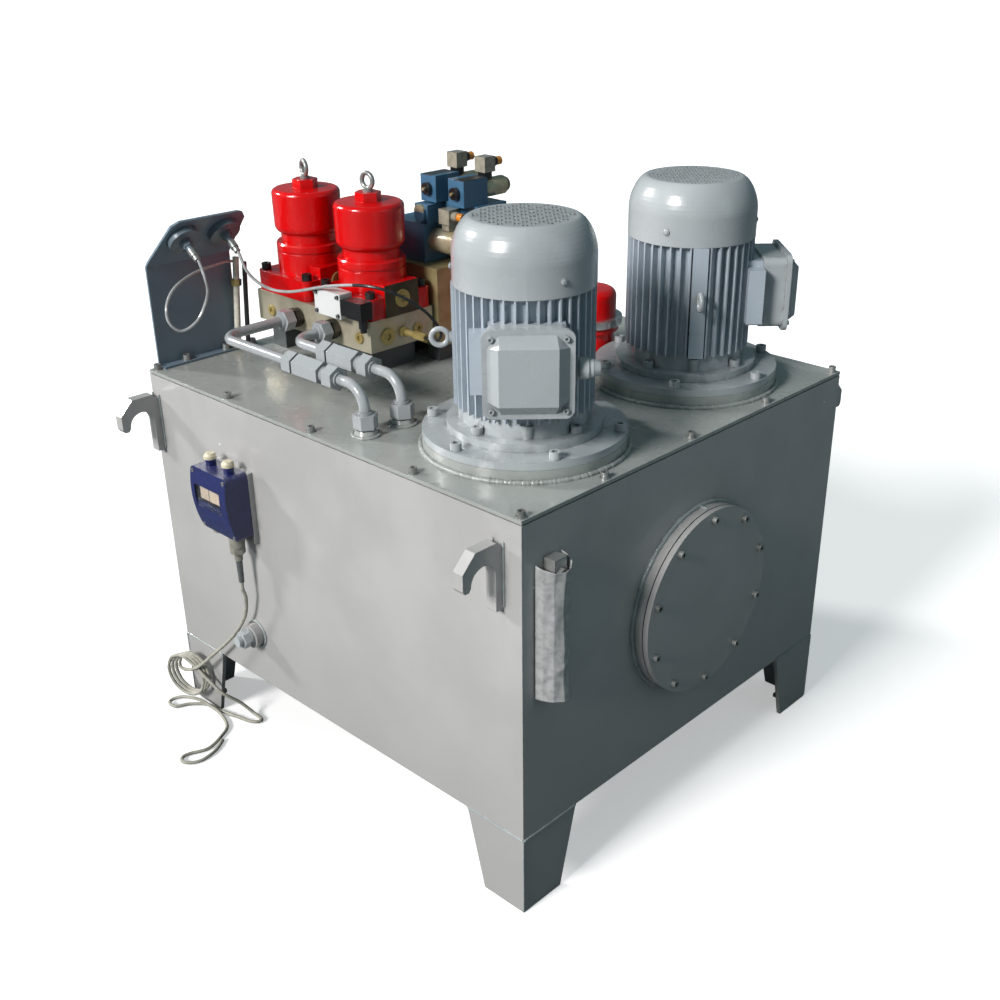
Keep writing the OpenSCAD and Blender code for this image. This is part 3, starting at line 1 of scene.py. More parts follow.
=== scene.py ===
import json
import math
import random

import bpy
import numpy as np
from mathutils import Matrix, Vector


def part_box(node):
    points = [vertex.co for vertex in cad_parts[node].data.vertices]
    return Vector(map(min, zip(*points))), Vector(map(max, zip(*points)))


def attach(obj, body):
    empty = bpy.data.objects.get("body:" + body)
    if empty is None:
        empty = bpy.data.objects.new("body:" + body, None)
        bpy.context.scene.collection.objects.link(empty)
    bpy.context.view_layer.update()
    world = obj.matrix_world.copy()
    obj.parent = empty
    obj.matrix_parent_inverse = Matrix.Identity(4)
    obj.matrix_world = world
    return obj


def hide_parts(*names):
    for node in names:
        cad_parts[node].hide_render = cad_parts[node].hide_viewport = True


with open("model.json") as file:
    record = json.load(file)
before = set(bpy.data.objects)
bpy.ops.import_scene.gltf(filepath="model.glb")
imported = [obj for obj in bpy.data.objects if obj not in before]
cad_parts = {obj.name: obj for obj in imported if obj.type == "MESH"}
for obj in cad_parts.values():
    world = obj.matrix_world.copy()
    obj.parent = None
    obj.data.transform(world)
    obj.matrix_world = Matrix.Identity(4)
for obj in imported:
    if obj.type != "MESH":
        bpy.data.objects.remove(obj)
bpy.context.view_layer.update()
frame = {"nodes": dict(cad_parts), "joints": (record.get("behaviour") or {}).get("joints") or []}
nodes = frame["nodes"]
joint = {j["name"]: j for j in frame["joints"]}
random.seed(7)
UNIT = "unit"
MM = 0.001


# ---------- colours and shader helpers ----------

def rgb(r, g, b):
    """An sRGB colour, 0 to 255, as linear light."""
    def linear(v):
        v /= 255
        return v / 12.92 if v <= 0.04045 else ((v + 0.055) / 1.055) ** 2.4
    return (linear(r), linear(g), linear(b), 1.0)


class Look:
    """A node material: every method returns a socket that the next one can take."""

    def __init__(self, name):
        self.material = bpy.data.materials.new(name)
        self.material.use_nodes = True
        self.tree = self.material.node_tree
        self.tree.nodes.clear()
        out = self.add("ShaderNodeOutputMaterial")
        self.shader = self.add("ShaderNodeBsdfPrincipled")
        self.tree.links.new(self.shader.outputs[0], out.inputs[0])
        self.place = self.add("ShaderNodeTexCoord").outputs["Object"]

    def add(self, kind, **settings):
        node = self.tree.nodes.new(kind)
        for key, value in settings.items():
            setattr(node, key, value)
        return node

    def put(self, socket, value):
        if isinstance(value, bpy.types.NodeSocket):
            self.tree.links.new(value, socket)
        else:
            socket.default_value = value

    def set(self, **values):
        for key, value in values.items():
            self.put(self.shader.inputs[key.replace("_", " ")], value)
        return self

    def height(self):
        """Height above the floor."""
        part = self.add("ShaderNodeSeparateXYZ")
        self.put(part.inputs[0], self.place)
        return part.outputs[2]

    def math(self, operation, a, b=0.0):
        node = self.add("ShaderNodeMath", operation=operation)
        self.put(node.inputs[0], a)
        self.put(node.inputs[1], b)
        return node.outputs[0]

    def vector(self, operation, a, b=(0, 0, 0)):
        node = self.add("ShaderNodeVectorMath", operation=operation)
        self.put(node.inputs[0], a)
        self.put(node.inputs[1], b)
        return node.outputs["Value" if operation == "DOT_PRODUCT" else "Vector"]

    def noise(self, size, detail=3.0, stretch=(1, 1, 1), rough=0.5):
        """Noise whose lumps are about size metres across."""
        node = self.add("ShaderNodeTexNoise")
        self.put(node.inputs["Vector"], self.vector("MULTIPLY", self.place, stretch))
        node.inputs["Scale"].default_value = 1 / size
        node.inputs["Detail"].default_value = detail
        node.inputs["Roughness"].default_value = rough
        return node.outputs["Fac"]

    def cells(self, size):
        """Distance to the nearest of points scattered about size metres apart."""
        node = self.add("ShaderNodeTexVoronoi")
        self.put(node.inputs["Vector"], self.place)
        node.inputs["Scale"].default_value = 1 / size
        return node.outputs["Distance"]

    def step(self, value, low, high, to_low=0.0, to_high=1.0):
        """to_low below low, to_high above high, and smooth between them."""
        node = self.add("ShaderNodeMapRange", interpolation_type="SMOOTHSTEP")
        for key, v in (("Value", value), ("From Min", low), ("From Max", high),
                       ("To Min", to_low), ("To Max", to_high)):
            self.put(node.inputs[key], v)
        return node.outputs[0]

    def mix(self, amount, a, b, blend="MIX"):
        node = self.add("ShaderNodeMix", data_type="RGBA", blend_type=blend)
        self.put(node.inputs["Factor"], amount)
        self.put(node.inputs["A"], a)
        self.put(node.inputs["B"], b)
        return node.outputs[2]

    def blend(self, amount, a, b):
        """a to b, for plain numbers."""
        node = self.add("ShaderNodeMix", data_type="FLOAT")
        self.put(node.inputs[0], amount)
        self.put(node.inputs[2], a)
        self.put(node.inputs[3], b)
        return node.outputs[0]

    def bevel(self, radius):
        node = self.add("ShaderNodeBevel", samples=3)
        node.inputs["Radius"].default_value = radius
        return node.outputs[0]

    def edge(self, radius, low=0.004, high=0.05):
        """1 along sharp edges, 0 on flats."""
        flat = self.add("ShaderNodeNewGeometry").outputs["Normal"]
        same = self.vector("DOT_PRODUCT", self.bevel(radius), flat)
        return self.step(self.math("SUBTRACT", 1.0, same), low, high)

    def crevice(self, distance):
        """1 in corners, 0 in the open."""
        node = self.add("ShaderNodeAmbientOcclusion", samples=4, only_local=False)
        node.inputs["Distance"].default_value = distance
        return self.math("SUBTRACT", 1.0, node.outputs["AO"])

    def upward(self):
        normal = self.add("ShaderNodeNewGeometry").outputs["Normal"]
        return self.vector("DOT_PRODUCT", normal, (0, 0, 1))

    def bump(self, height, depth, radius=0.0008):
        node = self.add("ShaderNodeBump")
        node.inputs["Distance"].default_value = depth
        self.put(node.inputs["Height"], height)
        self.put(node.inputs["Normal"], self.bevel(radius))
        self.put(self.shader.inputs["Normal"], node.outputs[0])
        return self

    def inside(self, *boxes):
        """1 inside any of the boxes, each (lowest corner, highest corner)."""
        total = None
        for low, high in boxes:
            low, high = Vector(low), Vector(high)
            middle = (low + high) / 2
            half = (high - low) / 2
            away = self.vector("ABSOLUTE", self.vector(
                "DIVIDE", self.vector("SUBTRACT", self.place, middle), half))
            part = self.add("ShaderNodeSeparateXYZ")
            self.put(part.inputs[0], away)
            x, y, z = part.outputs
            mask = self.math("LESS_THAN", self.math("MAXIMUM", self.math("MAXIMUM", x, y), z), 1.0)
            total = mask if total is None else self.math("MAXIMUM", total, mask)
        return total


def darker(colour, part):
    """A colour at that part of its strength."""
    return tuple(c * part for c in colour[:3]) + (1,)


def paint(name, colour, gloss=0.3, lump=0.004, depth=0.00006, corner_shade=0.25, wear=0.25, big=False,
          plates=()):
    """Enamel: cloudy colour, orange peel, painted shade in corners, rubbed edges, dark plates in
    boxes.

    On big walls it also has light specks and painted shade that gets darker towards the floor."""
    m = Look(name)
    shade = darker(colour, 0.88)
    col = m.mix(m.step(m.noise(0.16, 4), 0.35, 0.7), colour, shade)
    streak = m.step(m.noise(0.03, 4, (1, 1, 0.12)), 0.52, 0.75)
    col = m.mix(m.math("MULTIPLY", streak, 0.3), col, shade)
    # Painted shade: corners and recesses darkened in patches where ambient occlusion finds them
    corner_shade_mask = m.math("MULTIPLY", m.crevice(0.02), m.step(m.noise(0.02, 4), 0.3, 0.7))
    col = m.mix(m.math("MULTIPLY", corner_shade_mask, corner_shade * 2), col, darker(colour, 0.3))
    if big:
        dots = m.math("LESS_THAN", m.cells(0.1), 0.022)
        col = m.mix(m.math("MULTIPLY", dots, 0.8), col, rgb(232, 232, 230))
        # Painted shade: the wall gets darker towards the floor
        col = m.mix(m.step(m.height(), 0.0, 0.6, 0.9, 0.0), col, darker(colour, 0.74))
    if plates:
        col = m.mix(m.inside(*plates), col, rgb(38, 40, 42))
    rub = m.math("MULTIPLY", m.edge(0.0016), m.step(m.noise(0.012, 5), 0.5, 0.62))
    col = m.mix(m.math("MULTIPLY", rub, wear), col, rgb(88, 92, 92))
    rough = m.blend(m.step(m.noise(0.05, 2), 0.3, 0.75), gloss - 0.05, gloss + 0.08)
    m.set(Base_Color=col, Roughness=rough, Coat_Weight=0.35, Coat_Roughness=0.12)
    peel = m.math("ADD", m.noise(lump, 2), m.math("MULTIPLY", m.noise(lump * 10, 1), 0.8))
    m.bump(peel, depth, 0.0015)
    return m


def metal(name, light, dark, rough=0.32, grain=(1, 1, 1), grain_size=0.002, hollow_shade=0.4, shine=0.55):
    """Plated or milled metal with painted shade in its hollows and a grain along one direction."""
    m = Look(name)
    col = m.mix(m.step(m.noise(0.03, 5), 0.3, 0.8), light, dark)
    # Painted shade: hollows and corners darkened where ambient occlusion finds them
    col = m.mix(m.math("MULTIPLY", m.crevice(0.008), hollow_shade), col, rgb(30, 28, 24))
    lines = m.noise(grain_size, 2, grain)
    m.set(Base_Color=col, Metallic=shine, Roughness=m.blend(lines, rough - 0.1, rough + 0.14))
    m.bump(lines, 0.00005, 0.0006)
    return m


def plastic(name, colour, rough=0.4, size=0.0012, depth=0.00006, coat=0.0, patches=()):
    """Moulded plastic with dust on top; patches are (colour, boxes)."""
    m = Look(name)
    col = m.mix(m.step(m.noise(0.01, 4), 0.35, 0.75), colour, darker(colour, 0.7))
    dust = m.math("MULTIPLY", m.step(m.upward(), 0.3, 1.0), m.step(m.noise(0.006, 4), 0.45, 0.7))
    col = m.mix(m.math("MULTIPLY", dust, 0.25), col, rgb(150, 148, 142))
    for other, boxes in patches:
        col = m.mix(m.inside(*boxes), col, other)
    m.set(Base_Color=col, Roughness=m.blend(m.noise(0.01, 3), rough - 0.06, rough + 0.1),
          Coat_Weight=coat)
    m.bump(m.noise(size, 2), depth, 0.0008)
    return m


def dress(look, *names):
    for name in names:
        data = nodes[name].data
        data.materials.clear()
        data.materials.append(look.material)


ALONG_Z = (1, 1, 14)
ALONG_X = (14, 1, 1)
smooth = dict(gloss=0.24, lump=0.014, depth=0.0001, corner_shade=0.5)
tank_paint = paint("tank_paint", rgb(175, 174, 172), gloss=0.33, lump=0.03, depth=0.0001, corner_shade=0.3,
                   big=True)
lid_paint = paint("lid_paint", rgb(160, 164, 160), gloss=0.27, lump=0.03, depth=0.0001, corner_shade=0.4)
motor_paint = paint("motor_paint", rgb(174, 179, 181), **smooth)
fin_paint = paint("fin_paint", rgb(178, 188, 197), gloss=0.3, lump=0.014, depth=0.0001, corner_shade=0.08,
                  wear=0.1)
fitting_paint = paint("fitting_paint", rgb(162, 166, 168), **smooth)
panel_paint = paint("panel_paint", rgb(118, 137, 151), gloss=0.4, wear=0.5)
case_paint = paint("case_paint", rgb(108, 122, 132), gloss=0.3, wear=0.3)
bracket_paint = paint("bracket_paint", rgb(74, 80, 80), gloss=0.4, wear=0.8)
red_paint = paint("red_paint", rgb(214, 4, 6), gloss=0.2, lump=0.006, depth=0.0005, corner_shade=0.3,
                  wear=0.0)
valve_blue = dict(colour=rgb(62, 104, 134), gloss=0.38, lump=0.0014, depth=0.0001, wear=0.5)
blue_paint = paint("blue_paint", **valve_blue)
white_paint = paint("white_paint", rgb(226, 228, 226), gloss=0.4, corner_shade=0.3, wear=0.2)

zinc = metal("zinc_block", rgb(206, 198, 176), rgb(184, 175, 150), 0.36, ALONG_Z, 0.004)
yellow_zinc = metal("yellow_zinc", rgb(186, 172, 126), rgb(160, 147, 104), 0.36, grain_size=0.003)
solenoid_metal = metal("solenoid_metal", rgb(216, 208, 182), rgb(178, 160, 112), 0.22, ALONG_X,
                       0.003)
screw_metal = metal("screw_metal", rgb(176, 178, 176), rgb(126, 128, 124), 0.34)
steel = metal("bright_steel", rgb(200, 202, 202), rgb(168, 170, 170), 0.24, ALONG_Z, 0.003,
              shine=0.85)
cast_alloy = metal("cast_alloy", rgb(190, 192, 192), rgb(150, 152, 152), 0.5)
copper = metal("winding_copper", rgb(180, 96, 52), rgb(110, 56, 30), 0.4, shine=0.85)

black_rubber = plastic("black_rubber", rgb(24, 24, 25), 0.6)
black_plastic = plastic("black_plastic", rgb(22, 22, 24), 0.34, coat=0.3)


def display(x0, x1, z0=-0.015, z1=0.018):
    """Box round a part of the display, by distances from the middle of its window."""
    low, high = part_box("sensor_box")
    x, y, z = (low[0] + high[0]) / 2, low[1], high[2] - 0.0525
    return (x + x0, y + 0.0025, z + z0), (x + x1, y + 0.02, z + z1)


navy_plastic = plastic("navy_plastic", rgb(22, 32, 92), 0.34, coat=0.4, patches=(
    (rgb(30, 30, 34), [display(-0.042, 0.034, -0.021, 0.021)]),
    (rgb(236, 214, 190), [display(-0.027, -0.002), display(0.0, 0.030)])))
cream_nylon = plastic("cream_nylon", rgb(222, 212, 184), 0.42)
cable_sheath = plastic("cable_sheath", rgb(166, 164, 152), 0.5, 0.0018, 0.0002)
hose_nylon = plastic("hose_nylon", rgb(176, 178, 178), 0.24, coat=0.8)
paper = plastic("filter_paper", rgb(214, 206, 180), 0.8)
vinyl = plastic("grey_vinyl", rgb(172, 173, 172), 0.42, 0.0009, 0.00012, coat=0.15)

painted_screw = paint("painted_screw", rgb(176, 181, 183), gloss=0.28, corner_shade=0.6)
black_oxide = metal("black_oxide", rgb(60, 62, 62), rgb(34, 35, 36), 0.34)
bare_fitting = metal("bare_fitting", rgb(96, 92, 82), rgb(48, 46, 42), 0.34)
gold_zinc = metal("gold_zinc", rgb(204, 184, 120), rgb(160, 138, 80), 0.3)
chrome = metal("chrome", rgb(226, 228, 228), rgb(190, 192, 192), 0.14, shine=0.85)
smoke_plastic = plastic("smoke_plastic", rgb(156, 150, 134), 0.22, coat=0.8)
amber_lens = plastic("amber_lens", rgb(226, 144, 52), 0.2, coat=1.0)
grey_nylon = plastic("grey_nylon", rgb(142, 140, 130), 0.45)
sleeve_grey = plastic("sleeve_grey", rgb(92, 94, 94), 0.5)
cream_tube = plastic("cream_tube", rgb(226, 222, 206), 0.35, coat=0.4)
black_hose = plastic("black_hose", rgb(30, 31, 33), 0.3, coat=0.5)
dark_anodised = metal("dark_anodised", rgb(84, 78, 58), rgb(54, 50, 38), 0.4, shine=0.4)

dress(tank_paint, "tank_shell", "tank_legs", "lifting_hooks", "cleanout_cover", "sensor_bracket")
dress(lid_paint, "tank_lid")
dress(motor_paint, "bell_housings", "motor_end_shields", "terminal_boxes", "terminal_covers",
      "fan_cowls")
dress(fin_paint, "motor_frames")
dress(fitting_paint, "pipe_fittings", "delivery_pipes", "check_valve_bodies")
dress(panel_paint, "gauge_panel")
dress(bracket_paint, "manifold_feet")
dress(red_paint, "filter_heads", "filter_bowls", "return_filter")
dress(zinc, "filter_manifold")
dress(yellow_zinc, "valve_manifold")
dress(gold_zinc, "port_fittings")
dress(blue_paint, "main_valve")
pilot_low, pilot_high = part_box("pilot_valves")
name_plates = [((x - 0.014, pilot_low[1] + 0.012, pilot_high[2] - 0.001),
                (x + 0.014, pilot_high[1] - 0.006, pilot_high[2] + 0.001))
               for x in (pilot_low[0] + 0.02, pilot_high[0] - 0.02)]
valve_paint = paint("valve_paint", plates=name_plates, **valve_blue)
dress(valve_paint, "pilot_valves")
dress(solenoid_metal, "valve_solenoids", "override_pin_1", "override_pin_2")
dress(smoke_plastic, "din_plugs")
dress(screw_metal, "socket_screws", "eyebolts", "level_gauge")
dress(painted_screw, "drain_plug")
dress(steel, "motor_shaft_1", "motor_shaft_2", "drive_gear_1", "drive_gear_2", "driven_gear_1",
      "driven_gear_2", "check_poppet_a", "check_poppet_b", "suction_strainers")
dress(cast_alloy, "pump_bodies", "shaft_coupling_1", "shaft_coupling_2")
dress(white_paint, "pressure_switch")
dress(copper, "motor_stators")
dress(black_rubber, "gaskets")
dress(black_plastic, "cooling_fan_1", "cooling_fan_2", "needle_left", "needle_right")
dress(paper, "filter_elements")
dress(cable_sheath, "sensor_cable")
dress(hose_nylon, "gauge_hoses")
dress(navy_plastic, "sensor_box")
dress(cream_nylon, "cable_glands")
dress(case_paint, "gauge_cases")
dress(vinyl, "level_gauge_sleeve")

clear = Look("clear_window")
clear.set(Base_Color=rgb(235, 240, 240),
          Roughness=clear.blend(clear.noise(0.01), 0.02, 0.07),
          Transmission_Weight=1.0,
          IOR=1.2,
          Alpha=clear.blend(clear.noise(0.02), 0.3, 0.4))
dress(clear, "clear_windows")


def zone(look, name, *boxes):
    """Give the faces whose middle is inside any of the boxes, in mm, another material."""
    o = nodes[name]
    data = o.data
    data.materials.append(look.material)
    slot = len(data.materials) - 1
    middles = np.empty(len(data.polygons) * 3)
    data.polygons.foreach_get("center", middles)
    turn = np.array(o.matrix_world)
    middles = (middles.reshape(-1, 3) @ turn[:3, :3].T + turn[:3, 3]) / MM
    index = np.empty(len(data.polygons), dtype=np.int32)
    data.polygons.foreach_get("material_index", index)
    for low, high in boxes:
        index[np.all((middles > low) & (middles < high), axis=1)] = slot
    data.polygons.foreach_set("material_index", index)
    data.update()


def about(name):
    """Lowest and highest corner of a node in mm."""
    low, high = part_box(name)
    return np.array(low) / MM, np.array(high) / MM


FAR = 3000
lid_top = about("tank_lid")[1][2] - 20
block_low, block_high = about("filter_manifold")
sensor_low = about("sensor_box")[0]
head_high = about("filter_heads")[1]
solenoid_high = about("valve_solenoids")[1]
plug_high = about("din_plugs")[1]
pilot_top = about("pilot_valves")[1][2]
motor_side = ((0, -FAR, 0), (FAR, FAR, FAR))

# Screws: zinc on the lid, black on the filters, painted over on the motors
zone(painted_screw, "socket_screws", ((110, -400, lid_top + 14), (FAR, 400, FAR)))
zone(black_oxide, "socket_screws", ((block_low[0] - 20, block_low[1] - 30, block_high[2] - 30),
                                    (block_high[0] + 20, 0, FAR)))
zone(painted_screw, "eyebolts", motor_side)

# Glands: painted on the motors, grey with a darker bend relief under the sensor box
zone(painted_screw, "cable_glands", motor_side)
zone(grey_nylon, "cable_glands", ((-FAR, -FAR, 0), (0, FAR, sensor_low[2] + 1)))
zone(sleeve_grey, "cable_glands", ((-FAR, -FAR, 0), (0, FAR, sensor_low[2] - 44)))

# Fittings at the filter manifold are left unpainted, and so is the end of the filter heads
zone(bare_fitting, "pipe_fittings", ((-FAR, block_low[1] - 22, 0), (FAR, block_low[1] + 40, FAR)))
zone(dark_anodised, "filter_heads", ((head_high[0] - 0.3, -FAR, 0), (FAR, FAR, FAR)))

# Hoses: steel ferrules behind the gauges
for side in ("left", "right"):
    x, y, z = (c / MM for c in joint[f"gauge_needle_{side}_turn"]["pos_m"])
    zone(screw_metal, "gauge_hoses", ((x + 20, y - 9, z - 43), (x + 46, y + 9, z - 13)))

# Cream tube with two brass nuts, black tube beside it, and the far end of a hose painted black as
# shade
between_tubes = -448.5
zone(cream_tube, "gauge_hoses", ((-468, -260, lid_top), (between_tubes, -222, 894)))
zone(gold_zinc, "gauge_hoses", ((-468, -260, 836), (-443, -222, 856)),
     ((-468, -260, lid_top), (-443, -234, 735)))
zone(black_hose, "gauge_hoses", ((between_tubes, -236, lid_top), (-436, -214, 892)),
     ((-130, -230, 780), (0, -100, 910)))

# Solenoids end in a black ring, and the pilot valves have a black button at the other end
zone(black_plastic, "valve_solenoids",
     ((solenoid_high[0] - 10, -FAR, 0), (FAR, FAR, FAR)),
     ((-FAR, solenoid_high[1] - 10, 0), (FAR, FAR, FAR)),
     ((-FAR, -FAR, pilot_top - 50), (FAR, 0.5, FAR)))
zone(blue_paint, "valve_solenoids", ((-FAR, -FAR, 0), (FAR, -15, pilot_top - 60)))

# Plugs: black on the pressure switch, black feet and amber ends on the solenoids
zone(black_plastic, "din_plugs",
     ((-FAR, -FAR, 0), (FAR, -150, FAR)),
     ((-FAR, -30, pilot_top - 30), (FAR, FAR, pilot_top + 12.2)))
zone(black_plastic, "din_plugs", ((-FAR, plug_high[1] - 26, pilot_top), (FAR, FAR, FAR)))
zone(amber_lens, "din_plugs",
     ((-FAR, plug_high[1] - 13, pilot_top), (FAR, FAR, FAR)),
     ((-94, -FAR, pilot_top - 90), (FAR, 60, pilot_top - 40)))
zone(chrome, "return_filter", ((-5, 130, lid_top + 60), (125, 270, lid_top + 78)))


# ---------- extra pieces ----------

def piece(name, points, faces, look, smooth=True, node=None, thick=0.0):
    """A mesh that rides on the unit; points are in mm."""
    data = bpy.data.meshes.new(name)
    data.from_pydata([tuple(c * MM for c in p) for p in points], [], faces)
    data.materials.append(look.material)
    for f in data.polygons:
        f.use_smooth = smooth
    o = bpy.data.objects.new(name, data)
    bpy.context.scene.collection.objects.link(o)
    if thick:
        shell = o.modifiers.new("thickness", "SOLIDIFY")
        shell.thickness = thick * MM
        shell.offset = -1
    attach(o, UNIT)
    if node:
        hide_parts(node)
    return o


def weld(points, radius, sides=7, closed=False):
    """Points and faces of a rippled weld bead along a path."""
    path = [Vector(p) for p in points]
    if closed:
        path.append(path[0])
    fine = [path[0]]
    for a, b in zip(path, path[1:]):
        steps = max(1, round((b - a).length / 2.2))
        fine += [a.lerp(b, (k + 1) / steps) for k in range(steps)]
    if closed:
        fine.pop()
    n = len(fine)
    verts, faces = [], []
    for k, p in enumerate(fine):
        ahead = fine[(k + 1) % n] if closed or k < n - 1 else p
        behind = fine[k - 1] if closed or k > 0 else p
        d = (ahead - behind).normalized()
        side = d.orthogonal() if abs(d.z) > 0.9 else d.cross(Vector((0, 0, 1)))
        side.normalize()
        up = d.cross(side)
        r = radius * (1 + 0.13 * math.sin(k * 2.1) + random.uniform(-0.1, 0.1))
        if not closed and k in (0, n - 1):
            r *= 0.35
        shift = side * random.uniform(-0.12, 0.12) * radius
        for j in range(sides):
            a = 2 * math.pi * j / sides
            verts.append(p + shift + side * (r * math.cos(a)) + up * (r * math.sin(a)))
    rings = n if closed else n - 1
    for k in range(rings):
        for j in range(sides):
            a, b = k * sides, ((k + 1) % n) * sides
            faces.append((a + j, b + j, b + (j + 1) % sides, a + (j + 1) % sides))
    if not closed:
        faces += [tuple(range(sides)), tuple(n * sides - 1 - j for j in range(sides))]
    return verts, faces


def weld_piece(name, beads, look):
    """One piece from many beads."""
    verts, faces = [], []
    for v, f in beads:
        start = len(verts)
        verts += v
        faces += [tuple(i + start for i in face) for face in f]
    piece(name, verts, faces, look)


def circle(x, y, z, r, count, normal="Z"):
    """Points round a circle that lies flat or, with normal X, stands up."""
    spots = []
    for k in range(count):
        a = 2 * math.pi * k / count
        c, s = r * math.cos(a), r * math.sin(a)
        spots.append((x + c, y + s, z) if normal == "Z" else (x, y + c, z + s))
    return spots


weld_paint = paint("weld_paint", rgb(158, 164, 164), gloss=0.3, corner_shade=0.5)
leg_high = about("tank_legs")[1]
hook_low, hook_high = about("lifting_hooks")
X, Y, seam = leg_high
leg_width = 127
beads = []
for sx in (-1, 1):
    for sy in (-1, 1):
        beads.append(weld([(sx * X, sy * (Y + 0.5), seam),
                           (sx * (X - leg_width), sy * (Y + 0.5), seam)], 2.2))
        beads.append(weld([(sx * (X + 0.5), sy * Y, seam),
                           (sx * (X + 0.5), sy * (Y - leg_width), seam)], 2.2))
        beads.append(weld([(sx * X, sy * Y, 2), (sx * X, sy * Y, seam)], 1.6))
cover_low, cover_high = about("cleanout_cover")
cleanout_z = (cover_low[2] + cover_high[2]) / 2
cleanout_r = (cover_high[2] - cover_low[2]) / 2
beads.append(weld(circle(X + 1.5, 0, cleanout_z, cleanout_r + 1.5, 160, "X"), 4.2, closed=True))
beads.append(weld([(X + 3, 0, cleanout_z + cleanout_r + 1),
                   (cover_low[0] - 4, 0, cleanout_z + cleanout_r + 0.5)], 2.4))
drain_low, drain_high = about("drain_plug")
drain = (drain_low + drain_high) / 2
drain_weld_r = 26
ring = [(drain[0] + drain_weld_r * math.cos(t * math.pi / 30), -Y - 1,
         drain[2] + drain_weld_r * math.sin(t * math.pi / 30)) for t in range(60)]
beads.append(weld(ring, 2.6, closed=True))
for x in (hook_low[0] + 10, hook_high[0] - 10):
    for sy in (-1, 1):
        for side in (-10.5, 10.5):
            beads.append(weld([(x + side, sy * (Y + 0.5), hook_low[2] + 2),
                               (x + side, sy * (Y + 0.5), hook_high[2] - 2)], 2.4))
weld_piece("tank_weld_beads", beads, weld_paint)

lid_z = about("gauge_panel")[0][2]
motors = [joint[f"motor_{k}_spin"]["pos_m"] for k in (1, 2)]
pipe_holes = ((68, -366), (74, -292))
beads = [weld(circle(x / MM, y / MM, lid_z + 1.5, 167, 160), 4.4, closed=True)
         for x, y, z in motors]
for x, y in pipe_holes:
    beads.append(weld(circle(x, y, lid_z + 1, 22.5, 50), 3.0, closed=True))
weld_piece("lid_weld_beads", beads, lid_paint)


# Cloth sleeve of the level gauge: a tube with folds, cut at a slant at both ends
def sleeve():
    low, high = about("level_gauge_sleeve")
    gauge_low, gauge_high = about("level_gauge")
    around, along = 96, 130
    outline = [(2, -32), (14, -29), (28, -19), (35, -4), (34, 9), (27, 20), (14, 24), (3, 24)]
    middle_y = (gauge_low[1] + gauge_high[1]) / 2
    lengths = [math.dist(a, b) for a, b in zip(outline, outline[1:])]
    cuts = np.cumsum([0] + lengths)
    verts, faces = [], []
    for i in range(along + 1):
        t = i / along
        for j in range(around + 1):
            u = j / around
            place = u * cuts[-1]
            out_x = np.interp(place, cuts, [p[0] for p in outline])
            dy = np.interp(place, cuts, [p[1] for p in outline])
            bottom = low[2] + 4 - 0.14 * dy
            top = high[2] - 4 + 0.10 * dy - 0.35 * out_x
            z = bottom + (top - bottom) * t
            loose = math.sin(math.pi * u) ** 0.7
            fold = (1.2 * math.sin(9 * u + 0.035 * z + 1.5 * math.sin(0.021 * z))
                    + 0.5 * math.sin(23 * u - 0.06 * z + 2 * math.sin(5 * u))
                    + 0.4 * math.sin(0.16 * z + 7 * u)
                    + 1.4 * math.exp(-((z - low[2] - 40 - 55 * u) / 7) ** 2)
                    - 1.2 * math.exp(-((z - low[2] - 150 + 45 * u) / 6) ** 2))
            flare = 3.0 * math.exp(-t / 0.06) + 3.5 * math.exp(-(1 - t) / 0.05)
            grow = (fold + flare - 1.5) * loose
            angle = math.atan2(dy, out_x + 6)
            verts.append((X + out_x + grow * math.cos(angle),
                          middle_y + dy + grow * math.sin(angle), z))
    row = around + 1
    for i in range(along):
        for j in range(around):
            a = i * row + j
            faces.append((a, a + 1, a + row + 1, a + row))
    piece("level_gauge_cloth_sleeve", verts, faces, vinyl, node="level_gauge_sleeve", thick=0.9)


sleeve()


def dial(name):
    """White face of a gauge with a ring of ticks."""
    lean = math.radians(40)
    normal = Vector((-math.cos(lean), 0, math.sin(lean)))
    up = Vector((math.sin(lean), 0, math.cos(lean)))
    across = up.cross(normal)
    centre = Vector(joint[f"gauge_needle_{name}_turn"]["pos_m"]) / MM + normal * 1.15
    sides, face_r, tick_end = 72, 28.3, 26.6
    verts = [centre + normal * 0.1]
    for k in range(sides):
        a = 2 * math.pi * k / sides
        verts.append(centre + up * (face_r * math.cos(a)) + across * (face_r * math.sin(a)))
    faces = [(0, 1 + k, 1 + (k + 1) % sides) for k in range(sides)]
    piece(f"dial_face_{name}", verts, faces, dial_white, smooth=False)
    box_faces = ((0, 1, 2, 3), (4, 7, 6, 5), (0, 4, 5, 1), (1, 5, 6, 2), (2, 6, 7, 3), (3, 7, 4, 0))
    verts, faces = [], []
    for k in range(41):
        a = math.radians(-135 + 270 * k / 40)
        inner = 20.5 if k % 5 == 0 else 24
        half = 0.55 if k % 5 == 0 else 0.28
        d = up * math.cos(a) + across * math.sin(a)
        w = up * -math.sin(a) + across * math.cos(a)
        base = len(verts)
        for h in (0.1, 0.3):
            for r, side in ((inner, -1), (tick_end, -1), (tick_end, 1), (inner, 1)):
                verts.append(centre + d * r + w * (side * half) + normal * h)
        faces += [tuple(base + i for i in f) for f in box_faces]
    piece(f"dial_ticks_{name}", verts, faces, black_rubber, smooth=False)


dial_white = plastic("dial_white", rgb(236, 236, 230), 0.5)
for side in ("left", "right"):
    dial(side)

# Bent hoses and cables are shaded smooth, apart from the faces with many corners at their ends
for name in ("sensor_cable", "gauge_hoses"):
    data = nodes[name].data
    data.polygons.foreach_set("use_smooth", [len(f.vertices) < 6 for f in data.polygons])


# ---------- floor, light and camera ----------

def lamp(name, kind, direction, power, colour):
    """A light that shines against direction."""
    data = bpy.data.lights.new(name, kind)
    data.energy = power
    data.color = colour
    o = bpy.data.objects.new(name, data)
    bpy.context.scene.collection.objects.link(o)
    o.rotation_euler = (-Vector(direction)).to_track_quat("-Z", "Y").to_euler()
    return o


